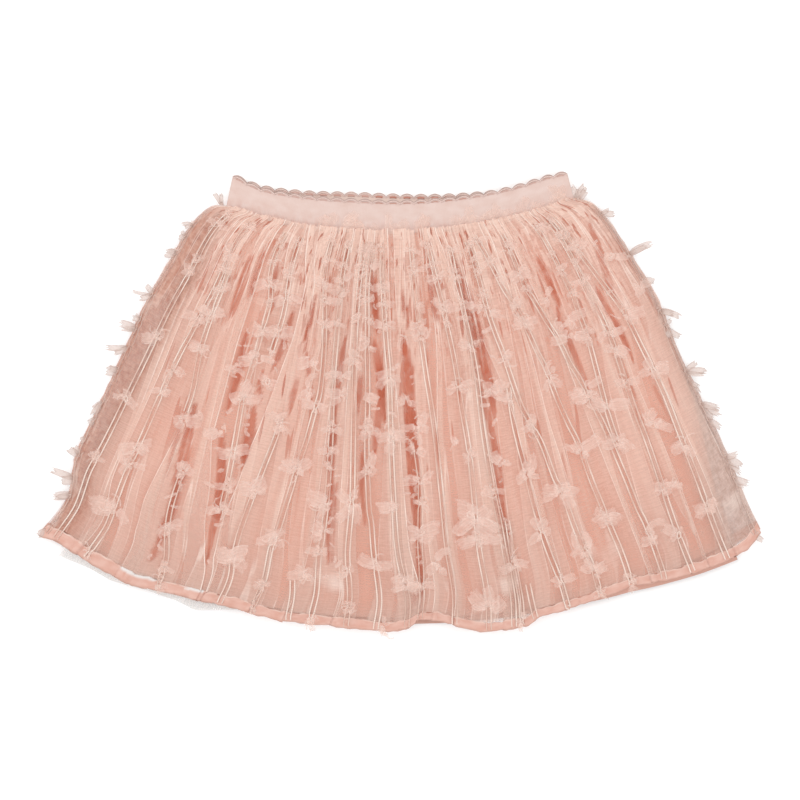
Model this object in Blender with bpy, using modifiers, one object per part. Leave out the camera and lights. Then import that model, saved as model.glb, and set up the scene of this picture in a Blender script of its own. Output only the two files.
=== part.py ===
"""A gathered tulle skirt with tied bows, laid flat with its front up.

Run it with blender --background --python part.py, or from Blender's text editor.

Lengths in this file are millimetres, and MM turns them into metres where a mesh is made. The skirt
lies on the XY plane, with its waist at +Y, its hem at -Y and its origin at the middle of the floor
that it covers. A place on a panel is a pair: "across" runs from -1 at the left side to 1 at the
right, and "down" from 0 at the waistband to 1 at the hem.
"""

import math

import bmesh
import bpy
from mathutils import Vector

MM = 0.001

# The cloth and how its layers lie on each other.
WALL = 1.2
LINING_WALL = 1.0
GAP = 0.3
VALLEY_CLEAR = 0.8
BAND_WALL = 3.0
BAND_GAP = 0.8
LINING_WAVE = 0.8
LINING_WAVES = 9
HEM_HEIGHT = 7.0
HEM_GAP = 0.6

# The length of a panel at its middle, and how round the lines across it are.
PANEL_LENGTH = 298.0
ARC_POWER = 2.2

# The floor that each layer starts from.
NET_FLOOR = WALL + GAP
LINING_BACK_FLOOR = NET_FLOOR + LINING_WALL + GAP
LINING_FRONT_FLOOR = LINING_BACK_FLOOR + LINING_WALL + GAP
STACK_HEIGHT = LINING_FRONT_FLOOR + LINING_WALL + LINING_WAVE + VALLEY_CLEAR
EDGE_HEIGHT = WALL + VALLEY_CLEAR

# The two ends of each line across the skirt, and how far its middle hangs below them.
SECTIONS = [
    # down, left_x, left_y, right_x, right_y, sag
    (0.00, -131.0, 148.5, 129.5, 154.5, 22.5),
    (0.05, -143.5, 148.0, 143.0, 151.0, 35.0),
    (0.12, -158.5, 134.5, 157.5, 136.0, 42.0),
    (0.22, -173.0, 110.0, 173.5, 112.0, 47.5),
    (0.35, -191.5, 78.0, 193.0, 79.5, 54.0),
    (0.50, -209.0, 38.5, 209.5, 39.0, 59.0),
    (0.65, -227.5, -1.0, 229.0, -2.5, 63.5),
    (0.80, -245.0, -39.0, 247.5, -42.0, 69.0),
    (0.92, -252.5, -73.0, 260.5, -74.5, 72.0),
    (1.00, -272.5, -100.0, 271.0, -97.0, 71.0),
]

# How far each layer's hem hangs below the last line of SECTIONS.
TULLE_HEM = [
    # across, drop
    (-1.00, 0.0),
    (-0.95, -4.0),
    (-0.86, -0.5),
    (-0.74, 3.0),
    (-0.64, -1.5),
    (-0.47, -4.0),
    (-0.34, -0.5),
    (-0.20, -1.0),
    (-0.03, 2.0),
    (0.03, -0.5),
    (0.05, -6.5),
    (0.10, -6.0),
    (0.18, 1.5),
    (0.23, 5.5),
    (0.35, 5.8),
    (0.38, 0.5),
    (0.50, -2.0),
    (0.64, -4.5),
    (0.79, 3.5),
    (0.90, 7.0),
    (0.96, 7.0),
    (1.00, 0.0),
]
LINING_FRONT_HEM = [
    # across, drop
    (-0.87, -17.0),
    (-0.79, -10.0),
    (-0.67, -13.0),
    (-0.47, -15.0),
    (-0.28, -13.5),
    (0.00, -11.0),
    (0.28, -9.0),
    (0.64, -7.0),
    (0.87, -5.0),
]
LINING_BACK_HEM = [
    # across, drop
    (-0.87, -20.0),
    (-0.47, -18.0),
    (0.00, -14.0),
    (0.44, -5.0),
    (0.64, 0.0),
    (0.83, 7.5),
    (0.935, 11.0),
]
NET_HEM = [
    # across, drop
    (-0.945, 6.5),
    (-0.86, 4.5),
    (-0.80, 6.5),
    (-0.70, 3.0),
    (-0.62, 3.0),
    (-0.57, 6.0),
    (-0.50, 1.0),
    (-0.40, -6.0),
    (0.00, -12.0),
    (0.87, -16.0),
]

# How much of the tulle's half width the layers inside it take up.
LINING_SPAN = [
    # down, left_share, right_share, back_right_share
    (0.00, 0.93, 0.93, 0.93),
    (0.30, 0.91, 0.91, 0.91),
    (0.70, 0.88, 0.88, 0.89),
    (1.00, 0.865, 0.865, 0.935),
]
NET_SPAN = [
    # down, left_share, right_share
    (0.00, 0.92, 0.92),
    (0.70, 0.90, 0.86),
    (1.00, 0.945, 0.86),
]

# The valleys between the front panel's folds, by their place across at three lines.
FOLD_DOWNS = (0.1, 0.5, 1.0)
FOLDS = [
    # waist, middle, hem, depth as a share of the loft
    (-0.950, -0.955, -0.950, 0.40),
    (-0.880, -0.885, -0.900, 0.40),
    (-0.800, -0.800, -0.820, 0.40),
    (-0.720, -0.710, -0.710, 0.90),
    (-0.620, -0.605, -0.600, 0.80),
    (-0.530, -0.530, -0.530, 0.80),
    (-0.370, -0.400, -0.450, 0.50),
    (-0.310, -0.335, -0.370, 0.40),
    (-0.225, -0.240, -0.280, 0.70),
    (-0.180, -0.195, -0.200, 0.60),
    (-0.130, -0.140, -0.120, 0.80),
    (-0.010, 0.020, 0.040, 1.00),
    (0.130, 0.125, 0.140, 0.50),
    (0.200, 0.185, 0.195, 0.35),
    (0.280, 0.310, 0.335, 1.00),
    (0.370, 0.390, 0.395, 0.50),
    (0.460, 0.470, 0.475, 0.50),
    (0.540, 0.560, 0.570, 0.45),
    (0.650, 0.640, 0.650, 0.80),
    (0.710, 0.725, 0.740, 0.50),
    (0.790, 0.805, 0.795, 0.80),
    (0.865, 0.870, 0.860, 0.50),
    (0.940, 0.950, 0.950, 0.40),
]
QUARTER_SHARE = 0.3
COLUMNS_A_FOLD = 4
FIRST_CREST = 4
SIDE_TAPER = 0.6

# How high the folds stand above the lining.
LOFT = [
    # down, height
    (0.00, 1.6),
    (0.08, 3.2),
    (0.20, 5.6),
    (0.40, 8.0),
    (0.70, 9.0),
    (1.00, 7.6),
]

# The small gathers under the waistband, two to each fold.
GATHER_HEIGHT = 0.5
GATHER_END = 0.25

# The lines across the front panel, with the hem strip below the last one.
HEM_TOP = 1.0 - HEM_HEIGHT / PANEL_LENGTH
FRONT_DOWNS = [0.0, 0.03, 0.08, 0.15, 0.25, 0.36, 0.48, 0.6, 0.72, 0.84, 0.92, HEM_TOP]
HEM_DOWNS = [HEM_TOP + HEM_GAP / PANEL_LENGTH, 1.0]
BACK_COLUMNS = 24
BACK_DOWNS = [0.0, 0.05, 0.12, 0.22, 0.5, 0.8, 0.92, HEM_TOP]
LINING_COLUMNS = 36
FLAT_COLUMNS = 24
LINING_DOWNS = [0.0, 0.12, 0.35, 0.7, 1.0]
BACK_INSET = 1.5

# The elastic waistband, with a picot edge.
BAND = [
    # across, front_height, back_height
    (-1.00, 22.0, 22.5),
    (-0.84, 19.5, 22.0),
    (-0.62, 19.5, 24.5),
    (-0.30, 22.5, 28.5),
    (0.00, 23.0, 27.5),
    (0.35, 23.0, 25.0),
    (0.65, 22.5, 22.0),
    (0.88, 22.0, 21.0),
    (1.00, 18.5, 18.5),
]
BAND_TOP_SHARE = 0.955
PICOTS = 26
PICOT_HEIGHT = 1.6
PICOT_STEPS = 3

# The stripes of twisted threads down the front, and the bows tied on them.
STRIPES = [
    # across at the middle, places of its bows down the stripe
    (-0.918, (0.23, 0.42, 0.60, 0.79)),
    (-0.840, (0.15, 0.32, 0.49, 0.70, 0.89)),
    (-0.755, (0.30, 0.40, 0.58, 0.70, 0.86)),
    (-0.565, (0.18, 0.36, 0.48, 0.62, 0.74)),
    (-0.465, (0.14, 0.22, 0.35, 0.53, 0.70, 0.89)),
    (-0.370, (0.15, 0.33, 0.45, 0.62, 0.80)),
    (-0.285, (0.12, 0.28, 0.56, 0.78, 0.90)),
    (-0.215, (0.17, 0.37, 0.56, 0.70, 0.82)),
    (-0.168, (0.33, 0.50, 0.68, 0.86)),
    (-0.060, (0.12, 0.24, 0.37, 0.52, 0.60, 0.89)),
    (0.070, (0.27, 0.43, 0.55, 0.77, 0.90)),
    (0.155, (0.12, 0.20, 0.49, 0.63, 0.85)),
    (0.245, (0.40, 0.54, 0.73, 0.94)),
    (0.350, (0.12, 0.42, 0.60, 0.85)),
    (0.430, (0.35, 0.64, 0.79)),
    (0.515, (0.10, 0.22, 0.53, 0.70, 0.90)),
    (0.600, (0.15, 0.27, 0.42, 0.62, 0.80)),
    (0.680, (0.10, 0.24, 0.34, 0.54, 0.88)),
    (0.765, (0.12, 0.30, 0.47, 0.58)),
    (0.840, (0.14, 0.37, 0.50, 0.62, 0.78)),
    (0.910, (0.20, 0.33, 0.50, 0.70)),
]
STRIPE_START = 0.02
STRIPE_END = 0.995
STRIPE_SHARE = 0.25
STRIPE_CLEAR = 0.7
STRIPE_WALL = 1.0
STRIPE_WIDTH = 5.0
BULGE_SAMPLES = 10
BOW_ROOT = 5.0
BOW_LOOP = 8.0
BOW_TIP = 5.5
BOW_REACH = 17.0
BOW_SPACING_SHARE = 0.8
BOW_CROWDED_SHARE = 0.42
BOW_CROWDED = 0.05
BOW_RISE = 3.6
BOW_CLEAR = 0.4
BOW_TIP_WALL = 1.2
BOW_VARIATION = 0.15
PROBE_STEP = 0.25

# The bows that stand out past the two sides.
SIDE_BOWS = {
    # side: outward direction, places of its bows down the side
    "left": (-1, [0.07, 0.13, 0.19, 0.26, 0.33, 0.41, 0.50, 0.59, 0.68, 0.77, 0.87, 0.96]),
    "right": (1, [0.07, 0.14, 0.25, 0.35, 0.45, 0.56, 0.64, 0.72, 0.82, 0.89, 0.965]),
}
SIDE_REACH = 11.0
SIDE_REACH_LAST = 4.0
SIDE_LOOP = 6.4
SIDE_RISE = 0.8
SIDE_STRIP = 2.4
SIDE_START = 0.055
SIDE_COLUMNS = 0.5

# name: colour, roughness
MATERIALS = {
    "elastic": ((0.79, 0.62, 0.56, 1.0), 0.75),
    "tulle": ((0.78, 0.50, 0.41, 1.0), 0.85),
    "hem": ((0.80, 0.52, 0.42, 1.0), 0.8),
    "lining": ((0.62, 0.27, 0.18, 1.0), 0.7),
    "net": ((0.80, 0.74, 0.70, 1.0), 0.85),
    "threads": ((0.92, 0.76, 0.68, 1.0), 0.7),
}


def clear_scene():
    for obj in list(bpy.data.objects):
        bpy.data.objects.remove(obj, do_unlink=True)


def make_material(name):
    colour, roughness = MATERIALS[name]
    material = bpy.data.materials.new(name)
    material.use_nodes = True
    shader = material.node_tree.nodes["Principled BSDF"]
    shader.inputs["Base Color"].default_value = colour
    shader.inputs["Roughness"].default_value = roughness
    shader.inputs["Metallic"].default_value = 0.0
    return material


def read(table, at, column=1, smooth=True):
    """The value of a table's column at a place in its first column, on a smooth or a straight line."""
    keys = [row[0] for row in table]
    values = [row[column] for row in table]
    if at <= keys[0]:
        return values[0]
    if at >= keys[-1]:
        return values[-1]
    i = max(k for k in range(len(keys) - 1) if keys[k] <= at)
    span = keys[i + 1] - keys[i]
    t = (at - keys[i]) / span
    if not smooth:
        return values[i] + (values[i + 1] - values[i]) * t
    slopes = []
    for k in (i, i + 1):
        low, high = max(k - 1, 0), min(k + 1, len(keys) - 1)
        slopes.append((values[high] - values[low]) / (keys[high] - keys[low]) * span)
    a, b = values[i], values[i + 1]
    turn = t * t * (3 - 2 * t)
    return a + (b - a) * turn + slopes[0] * t * (1 - t) ** 2 - slopes[1] * t * t * (1 - t)


def plan(across, down, hem=None):
    """The point of the floor under a place on a panel."""
    left = Vector((read(SECTIONS, down, 1), read(SECTIONS, down, 2)))
    right = Vector((read(SECTIONS, down, 3), read(SECTIONS, down, 4)))
    point = left.lerp(right, (across + 1) / 2)
    point.y -= read(SECTIONS, down, 5) * (1 - abs(across) ** ARC_POWER)
    if hem:
        point.y -= read(hem, across, smooth=False) * down**4
    return point


def side_share(down):
    return read(LINING_SPAN, down, 1)


def stack_height(across, down):
    """How high the layers under the front panel are, which falls to the back panel at the sides."""
    edge = min((1 - abs(across)) / (1 - side_share(down)), 1.0)
    return EDGE_HEIGHT + (STACK_HEIGHT - EDGE_HEIGHT) * math.sin(edge * math.pi / 2)


def valley(index, down):
    """The place across of the valley with this index. The panel's two sides count as valleys."""
    if index < 0:
        return -1.0
    if index >= len(FOLDS):
        return 1.0
    return read(list(zip(FOLD_DOWNS, FOLDS[index][:3])), down)


def fold_columns():
    """Rows of (valley on the left, fraction of the way to the next, share of the loft)."""
    columns = [(-1, 0.0, 0.0), (-1, 0.5, 0.5)]
    depths = [fold[3] for fold in FOLDS]
    for k, (depth, next_depth) in enumerate(zip(depths, depths[1:])):
        columns.append((k, 0.0, 1 - depth))
        columns.append((k, 0.25, 1 - depth * QUARTER_SHARE))
        columns.append((k, 0.5, 1.0))
        columns.append((k, 0.75, 1 - next_depth * QUARTER_SHARE))
    last = len(FOLDS) - 1
    columns.append((last, 0.0, 1 - depths[last]))
    columns.append((last, 0.5, 0.5))
    columns.append((last, 1.0, 0.0))
    return columns


def column_across(index, down):
    """The place across of one of the front panel's columns."""
    left, fraction, _ = COLUMNS[index]
    here, there = valley(left, down), valley(left + 1, down)
    return here + (there - here) * fraction


def front_point_at(index, down):
    """The top of the front panel where a column of it crosses a line across it."""
    across = column_across(index, down)
    share = COLUMNS[index][2]
    point = plan(across, down, TULLE_HEM)
    loft = read(LOFT, down) * (1 - SIDE_TAPER * across**4)
    gather = GATHER_HEIGHT * max(0.0, 1 - down / GATHER_END) * (1 if index % 2 else -1)
    if index in (0, len(COLUMNS) - 1):
        gather = 0.0
    height = stack_height(across, down) + WALL + loft * share + max(gather, -loft * share)
    return Vector((point.x, point.y, height))


def front_point(column, down):
    """The top of the front panel at a fraction of its columns, on its flat facets."""
    rows = FRONT_DOWNS + HEM_DOWNS
    i = max(k for k in range(len(rows) - 1) if rows[k] <= down or k == 0)
    t = (down - rows[i]) / (rows[i + 1] - rows[i])
    j = min(int(column), len(COLUMNS) - 2)
    s = column - j
    top = front_point_at(j, rows[i]).lerp(front_point_at(j + 1, rows[i]), s)
    low = front_point_at(j, rows[i + 1]).lerp(front_point_at(j + 1, rows[i + 1]), s)
    return top.lerp(low, t)


def beside_crest(across):
    """The column to the left of a step that touches the crest of the nearest fold."""
    crests = range(FIRST_CREST, len(COLUMNS) - 1, COLUMNS_A_FOLD)
    steps = [step for crest in crests for step in (crest - 1, crest)]
    middle = FOLD_DOWNS[1]

    def distance(step):
        return abs(column_across(step, middle) + column_across(step + 1, middle) - 2 * across)

    return min(steps, key=distance)


def add_object(name, bm, material, collection):
    mesh = bpy.data.meshes.new(name)
    bm.to_mesh(mesh)
    bm.free()
    obj = bpy.data.objects.new(name, mesh)
    obj.data.materials.append(material)
    collection.objects.link(obj)
    return obj


def add_cloth(name, columns, rows, place, wall, material, collection):
    """A sheet of cloth: a grid whose crossings are put at place(column, row), with a wall below it."""
    bm = bmesh.new()
    bmesh.ops.create_grid(bm, x_segments=columns - 1, y_segments=rows - 1, size=1)
    for vert in bm.verts:
        column = round((vert.co.x + 1) / 2 * (columns - 1))
        row = round((1 - vert.co.y) / 2 * (rows - 1))
        vert.co = place(column, row) * MM
    obj = add_object(name, bm, material, collection)
    shell = obj.modifiers.new("Wall", "SOLIDIFY")
    shell.thickness = wall * MM
    shell.offset = -1
    shell.use_even_offset = True
    obj.data.shade_smooth()
    obj.data.set_sharp_from_angle(angle=math.radians(50))
    return obj


def add_waistband(name, side, floor, material, collection):
    """A flat elastic band whose lower edge follows the panels and whose upper edge is scalloped."""
    steps = PICOTS * PICOT_STEPS
    height_column = 1 if side == "front" else 2

    def place(column, row):
        across = 2 * column / steps - 1
        low = plan(across, 0.0) + Vector((0, BAND_GAP))
        top_x = low.x * BAND_TOP_SHARE
        if row == 1:
            return Vector((low.x, low.y, floor + BAND_WALL))
        height = read(BAND, across, height_column)
        picot = PICOT_HEIGHT * abs(math.sin(math.pi * column / PICOT_STEPS))
        return Vector((top_x, low.y + height + picot, floor + BAND_WALL))

    return add_cloth(name, steps + 1, 2, place, BAND_WALL, material, collection)


def add_front_panels(materials, collection):
    def tulle(column, row):
        return front_point_at(column, FRONT_DOWNS[row])

    def hem(column, row):
        return front_point_at(column, HEM_DOWNS[row])

    columns = len(COLUMNS)
    add_cloth("tulle_front", columns, len(FRONT_DOWNS), tulle, WALL, materials["tulle"], collection)
    add_cloth("hem_front", columns, len(HEM_DOWNS), hem, WALL, materials["hem"], collection)


def add_back_panels(materials, collection):
    def across_of(column):
        return 2 * column / BACK_COLUMNS - 1

    def flat(across, down):
        point = plan(across, down)
        inset = Vector((-BACK_INSET * across, BACK_INSET * 2)) * down
        return Vector((*(point + inset), WALL))

    def tulle(column, row):
        return flat(across_of(column), BACK_DOWNS[row])

    def hem(column, row):
        return flat(across_of(column), HEM_DOWNS[row])

    columns = BACK_COLUMNS + 1
    add_cloth("tulle_back", columns, len(BACK_DOWNS), tulle, WALL, materials["tulle"], collection)
    add_cloth("hem_back", columns, len(HEM_DOWNS), hem, WALL, materials["hem"], collection)


def add_inner_layers(materials, collection):
    """The lining's two panels and the net under them, each narrower than the tulle."""

    def layer(steps, span, left_column, right_column, hem, floor, wave):
        def place(column, row):
            share = 2 * column / steps - 1
            down = LINING_DOWNS[row]
            reach = read(span, down, left_column if share < 0 else right_column)
            across = share * reach
            point = plan(across, down, hem)
            swell = (1 - math.cos(math.pi * LINING_WAVES * (share + 1))) / 2
            height = floor + LINING_WALL + wave * swell * math.sin(math.pi * min(down, 0.5))
            return Vector((point.x, point.y, height))

        return place

    layers = [
        # name, material, steps across, span, left and right column, hem, floor, wave
        ("petticoat_net", "net", FLAT_COLUMNS, NET_SPAN, 1, 2, NET_HEM, NET_FLOOR, 0.0),
        (
            "lining_back",
            "lining",
            FLAT_COLUMNS,
            LINING_SPAN,
            1,
            3,
            LINING_BACK_HEM,
            LINING_BACK_FLOOR,
            0.0,
        ),
        (
            "lining_front",
            "lining",
            LINING_COLUMNS,
            LINING_SPAN,
            1,
            2,
            LINING_FRONT_HEM,
            LINING_FRONT_FLOOR,
            LINING_WAVE,
        ),
    ]
    for name, material, steps, *form in layers:
        place = layer(steps, *form)
        rows = len(LINING_DOWNS)
        add_cloth(name, steps + 1, rows, place, LINING_WALL, materials[material], collection)


def add_ring(bm, left, right, up):
    """Four corners of a strip's cross-section: lower left, lower right, upper right, upper left."""
    corners = (left, right, right + up, left + up)
    return [bm.verts.new(corner * MM) for corner in corners]


def loft_strip(bm, rings):
    """Closes a strip through its rings, and returns its left and right side faces, one pair a step."""
    left_sides, right_sides = [], []
    for here, there in zip(rings, rings[1:]):
        for k in range(4):
            following = (k + 1) % 4
            face = bm.faces.new((here[k], there[k], there[following], here[following]))
            if k == 1:
                right_sides.append(face)
            if k == 3:
                left_sides.append(face)
    bm.faces.new(rings[0])
    bm.faces.new(reversed(rings[-1]))
    return left_sides, right_sides


def grow_wing(bm, face, root, stations):
    """Draws a bow's wing out of a side face, through stations of (centre, breadth, wall)."""
    along = (root[1] - root[0]).normalized()
    for centre, breadth, wall in stations:
        middle = face.calc_center_median()
        offsets = [((v.co - middle).dot(along), v.co.z - middle.z) for v in face.verts]
        made = bmesh.ops.extrude_discrete_faces(bm, faces=[face])
        grown = made["faces"][0]
        for vert, (lengthwise, upright) in zip(grown.verts, offsets):
            side = math.copysign(breadth / 2, lengthwise)
            rise = math.copysign(wall / 2, upright)
            vert.co = (centre + along * side + Vector((0, 0, rise))) * MM
        face = grown


def clear_height(column, down, start, reach, sign):
    """How high a straight wing has to end so that it passes over the panel below it."""
    ahead = front_point(column, down)
    slope = BOW_RISE / reach
    probe = column
    while 0 <= probe + PROBE_STEP * sign <= len(COLUMNS) - 1:
        probe += PROBE_STEP * sign
        surface = front_point(probe, down)
        distance = (surface.xy - ahead.xy).length
        if distance > reach:
            break
        slope = max(slope, (surface.z + BOW_CLEAR + BOW_TIP_WALL / 2 - start) / distance)
    return start + slope * reach


def stripe_rows(bows, start, guides):
    """The lines across the panel where a stripe has a ring, and the steps that carry a bow."""
    half = BOW_ROOT / PANEL_LENGTH / 2
    edges = [bow - half for bow in bows] + [bow + half for bow in bows]
    lines = [line for line in guides if all(abs(line - bow) > 2 * half for bow in bows)]
    rows = sorted([start, STRIPE_END] + edges + lines)
    steps = {rows.index(bow - half): bow for bow in bows}
    return rows, steps


def stripe_point(number, down):
    """The middle of a stripe at a line across the panel."""
    column = beside_crest(STRIPES[number][0])
    return front_point(column + 0.5, down)


def bow_room(number, bow, sign):
    """How far a bow can reach to one side, short of the next stripe and of its bows."""
    near = number + sign
    if not 0 <= near < len(STRIPES):
        return BOW_REACH
    crowded = any(abs(bow - other) < BOW_CROWDED for other in STRIPES[near][1])
    share = BOW_CROWDED_SHARE if crowded else BOW_SPACING_SHARE
    distance = (stripe_point(number, bow).xy - stripe_point(near, bow).xy).length
    return (distance - STRIPE_WIDTH) * share


def varied(phase):
    """A share just under one, so that no two neighbouring bows are the same size."""
    return 1 - BOW_VARIATION * (1 - math.sin(phase))


def ring_height(column, down, rows):
    """The top of the panel under a ring, raised by how far the panel bulges above the strip's steps."""
    point = front_point(column, down)
    index = rows.index(down)
    bulge = 0.0
    for near in rows[max(index - 1, 0) : index + 2]:
        far_point = front_point(column, near)
        for k in range(1, BULGE_SAMPLES):
            share = k / BULGE_SAMPLES
            between = front_point(column, down + (near - down) * share)
            bulge = max(bulge, between.z - point.lerp(far_point, share).z)
    return point + Vector((0, 0, bulge))


def add_stripe(number, materials, collection):
    across, bows = STRIPES[number]
    column = beside_crest(across)
    rows, steps = stripe_rows(bows, STRIPE_START, FRONT_DOWNS[2::2])
    lift = Vector((0, 0, STRIPE_CLEAR))
    up = Vector((0, 0, STRIPE_WALL))
    bm = bmesh.new()
    rings = []
    for down in rows:
        left = ring_height(column + STRIPE_SHARE, down, rows) + lift
        right = ring_height(column + 1 - STRIPE_SHARE, down, rows) + lift
        rings.append(add_ring(bm, left, right, up))
    left_sides, right_sides = loft_strip(bm, rings)
    for order, (step, bow) in enumerate(sorted(steps.items())):
        for sign, face in ((-1, left_sides[step]), (1, right_sides[step])):
            edge = column + (STRIPE_SHARE if sign < 0 else 1 - STRIPE_SHARE)
            reach = min(BOW_REACH, bow_room(number, bow, sign))
            reach *= varied(2.3 * number + 1.7 * order + sign)
            root = (plan(across, rows[step]), plan(across, rows[step + 1]))
            root = (Vector((*root[0], 0)), Vector((*root[1], 0)))
            start = face.calc_center_median() / MM
            out = (front_point(column + 1, bow) - front_point(column, bow)) * sign
            out = Vector((out.x, out.y, 0)).normalized()
            end_height = clear_height(edge, bow, start.z, reach, sign)
            stations = []
            for share, breadth, wall in ((0.5, BOW_LOOP, STRIPE_WALL), (1.0, BOW_TIP, BOW_TIP_WALL)):
                centre = start + out * reach * share
                centre.z = start.z + (end_height - start.z) * share
                stations.append((centre, breadth, wall))
            grow_wing(bm, face, root, stations)
    bmesh.ops.recalc_face_normals(bm, faces=bm.faces)
    add_object(f"bow_stripe_{number + 1:02d}", bm, materials["threads"], collection)


def add_side_bows(side, materials, collection):
    """A stripe that lies on the turn of one side, whose bows stand out past the edge."""
    sign, bows = SIDE_BOWS[side]
    edge = 0.0 if sign < 0 else float(len(COLUMNS) - 1)
    rows, steps = stripe_rows(bows, SIDE_START, FRONT_DOWNS[3:])
    lift = Vector((0, 0, STRIPE_CLEAR))
    up = Vector((0, 0, STRIPE_WALL))
    bm = bmesh.new()
    rings = []
    for down in rows:
        outer = ring_height(edge, down, rows)
        inner = ring_height(edge - SIDE_COLUMNS * sign, down, rows)
        inner = outer + (inner - outer).normalized() * SIDE_STRIP
        inner.z += STRIPE_WALL / 2
        pair = (outer + lift, inner + lift) if sign < 0 else (inner + lift, outer + lift)
        rings.append(add_ring(bm, *pair, up))
    sides = loft_strip(bm, rings)[0 if sign < 0 else 1]
    for order, (step, bow) in enumerate(sorted(steps.items())):
        face = sides[step]
        root = tuple(Vector((*plan(sign, rows[k]), 0)) for k in (step, step + 1))
        along = (root[1] - root[0]).normalized()
        out = Vector((-along.y, along.x, 0))
        out *= math.copysign(1, out.x * sign)
        reach = SIDE_REACH_LAST if order == len(steps) - 1 else SIDE_REACH * varied(1.9 * order)
        start = face.calc_center_median() / MM
        stations = [
            (start + out * reach * 0.5 + Vector((0, 0, SIDE_RISE)), SIDE_LOOP, STRIPE_WALL),
            (start + out * reach, BOW_TIP, BOW_TIP_WALL),
        ]
        grow_wing(bm, face, root, stations)
    bmesh.ops.recalc_face_normals(bm, faces=bm.faces)
    add_object(f"bow_stripe_side_{side}", bm, materials["threads"], collection)


def build():
    clear_scene()
    collection = bpy.data.collections.new("tulle_skirt")
    bpy.context.scene.collection.children.link(collection)
    materials = {name: make_material(name) for name in MATERIALS}
    add_waistband("waistband_back", "back", 0.0, materials["elastic"], collection)
    add_waistband("waistband_front", "front", BAND_WALL + GAP, materials["elastic"], collection)
    add_back_panels(materials, collection)
    add_inner_layers(materials, collection)
    add_front_panels(materials, collection)
    for number in range(len(STRIPES)):
        add_stripe(number, materials, collection)
    for side in SIDE_BOWS:
        add_side_bows(side, materials, collection)


COLUMNS = fold_columns()

build()
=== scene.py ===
"""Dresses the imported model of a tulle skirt, laid flat with its front up, on a pale floor.

Lengths are millimetres until MM turns them into metres. A place on a panel is a pair: "across" runs
from -1 at the left side to 1 at the right, and "down" from 0 at the waistband to 1 at the hem.
"""

import math

import bpy
import numpy as np
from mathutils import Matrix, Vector
from mathutils.bvhtree import BVHTree


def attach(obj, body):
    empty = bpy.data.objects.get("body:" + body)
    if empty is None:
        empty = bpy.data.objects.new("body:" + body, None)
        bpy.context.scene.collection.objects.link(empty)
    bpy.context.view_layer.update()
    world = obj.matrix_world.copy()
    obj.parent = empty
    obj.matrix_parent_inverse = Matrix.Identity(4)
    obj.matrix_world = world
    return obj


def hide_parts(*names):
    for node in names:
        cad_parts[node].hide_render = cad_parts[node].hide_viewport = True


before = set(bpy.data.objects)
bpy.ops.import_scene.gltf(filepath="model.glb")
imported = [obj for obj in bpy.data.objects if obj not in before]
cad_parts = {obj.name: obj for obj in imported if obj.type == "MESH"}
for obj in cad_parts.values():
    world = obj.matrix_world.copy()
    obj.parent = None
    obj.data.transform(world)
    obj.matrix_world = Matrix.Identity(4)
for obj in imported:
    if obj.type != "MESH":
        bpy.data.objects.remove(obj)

MM = 0.001
PANEL_LENGTH = 298.0
ARC_POWER = 2.2
# The line where the hems' strips start.
HEM_DOWN = 0.9765

# The two ends of each line across the skirt, and how far its middle hangs below them.
SECTIONS = np.array(
    [
        # down, left_x, left_y, right_x, right_y, sag
        (0.00, -131.0, 148.5, 129.5, 154.5, 22.5),
        (0.05, -143.5, 148.0, 143.0, 151.0, 35.0),
        (0.12, -158.5, 134.5, 157.5, 136.0, 42.0),
        (0.22, -173.0, 110.0, 173.5, 112.0, 47.5),
        (0.35, -191.5, 78.0, 193.0, 79.5, 54.0),
        (0.50, -209.0, 38.5, 209.5, 39.0, 59.0),
        (0.65, -227.5, -1.0, 229.0, -2.5, 63.5),
        (0.80, -245.0, -39.0, 247.5, -42.0, 69.0),
        (0.92, -252.5, -73.0, 260.5, -74.5, 72.0),
        (1.00, -272.5, -100.0, 271.0, -97.0, 71.0),
    ]
)

# How far each layer's hem hangs below the last line of SECTIONS.
TULLE_HEM = np.array(
    [
        # across, drop
        (-1, 0), (-0.95, -4), (-0.86, -0.5), (-0.74, 3), (-0.64, -1.5), (-0.47, -4), (-0.34, -0.5),
        (-0.2, -1), (-0.03, 2), (0.03, -0.5), (0.05, -6.5), (0.1, -6), (0.18, 1.5), (0.23, 5.5),
        (0.35, 5.8), (0.38, 0.5), (0.5, -2), (0.64, -4.5), (0.79, 3.5), (0.9, 7), (0.96, 7), (1, 0),
    ]
)
BACK_HEM = np.array([(-1.0, -2.0), (0.0, -3.0), (1.0, -2.0)])
LINING_FRONT_HEM = np.array(
    [
        # across, drop
        (-0.87, -14), (-0.79, -8), (-0.67, -9), (-0.47, -10), (-0.28, -9), (0, -8), (0.28, -7), (0.64, -6),
        (0.9, -5),
    ]
)
LINING_BACK_HEM = np.array(
    [
        # across, drop
        (-0.87, -10), (-0.47, -7), (0, -6), (0.44, -3), (0.64, 0), (0.83, 7.5), (0.935, 11),
    ]
)
NET_HEM = np.array(
    [
        # across, drop
        (-0.945, 6.5), (-0.86, 4.5), (-0.8, 6.5), (-0.7, 3), (-0.62, 3), (-0.57, 6), (-0.5, 1), (-0.4, -6),
        (0, -12), (0.87, -16),
    ]
)

# How much of the tulle's half width the layers inside it take up.
WHOLE_SPAN = np.array([(0.0, 1.0, 1.0), (1.0, 1.0, 1.0)])
NET_SPAN = np.array([(0.0, 0.92, 0.92), (0.7, 0.90, 0.86), (1.0, 0.945, 0.86)])
LINING_SPAN = np.array(
    [
        # down, left_share, right_share of the front, right_share of the back
        (0.00, 0.930, 0.985, 0.985),
        (0.22, 0.893, 0.985, 0.985),
        (0.35, 0.898, 0.983, 0.983),
        (0.55, 0.925, 0.985, 0.985),
        (0.80, 0.945, 0.940, 0.945),
        (1.00, 0.940, 0.905, 0.935),
    ]
)

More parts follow.
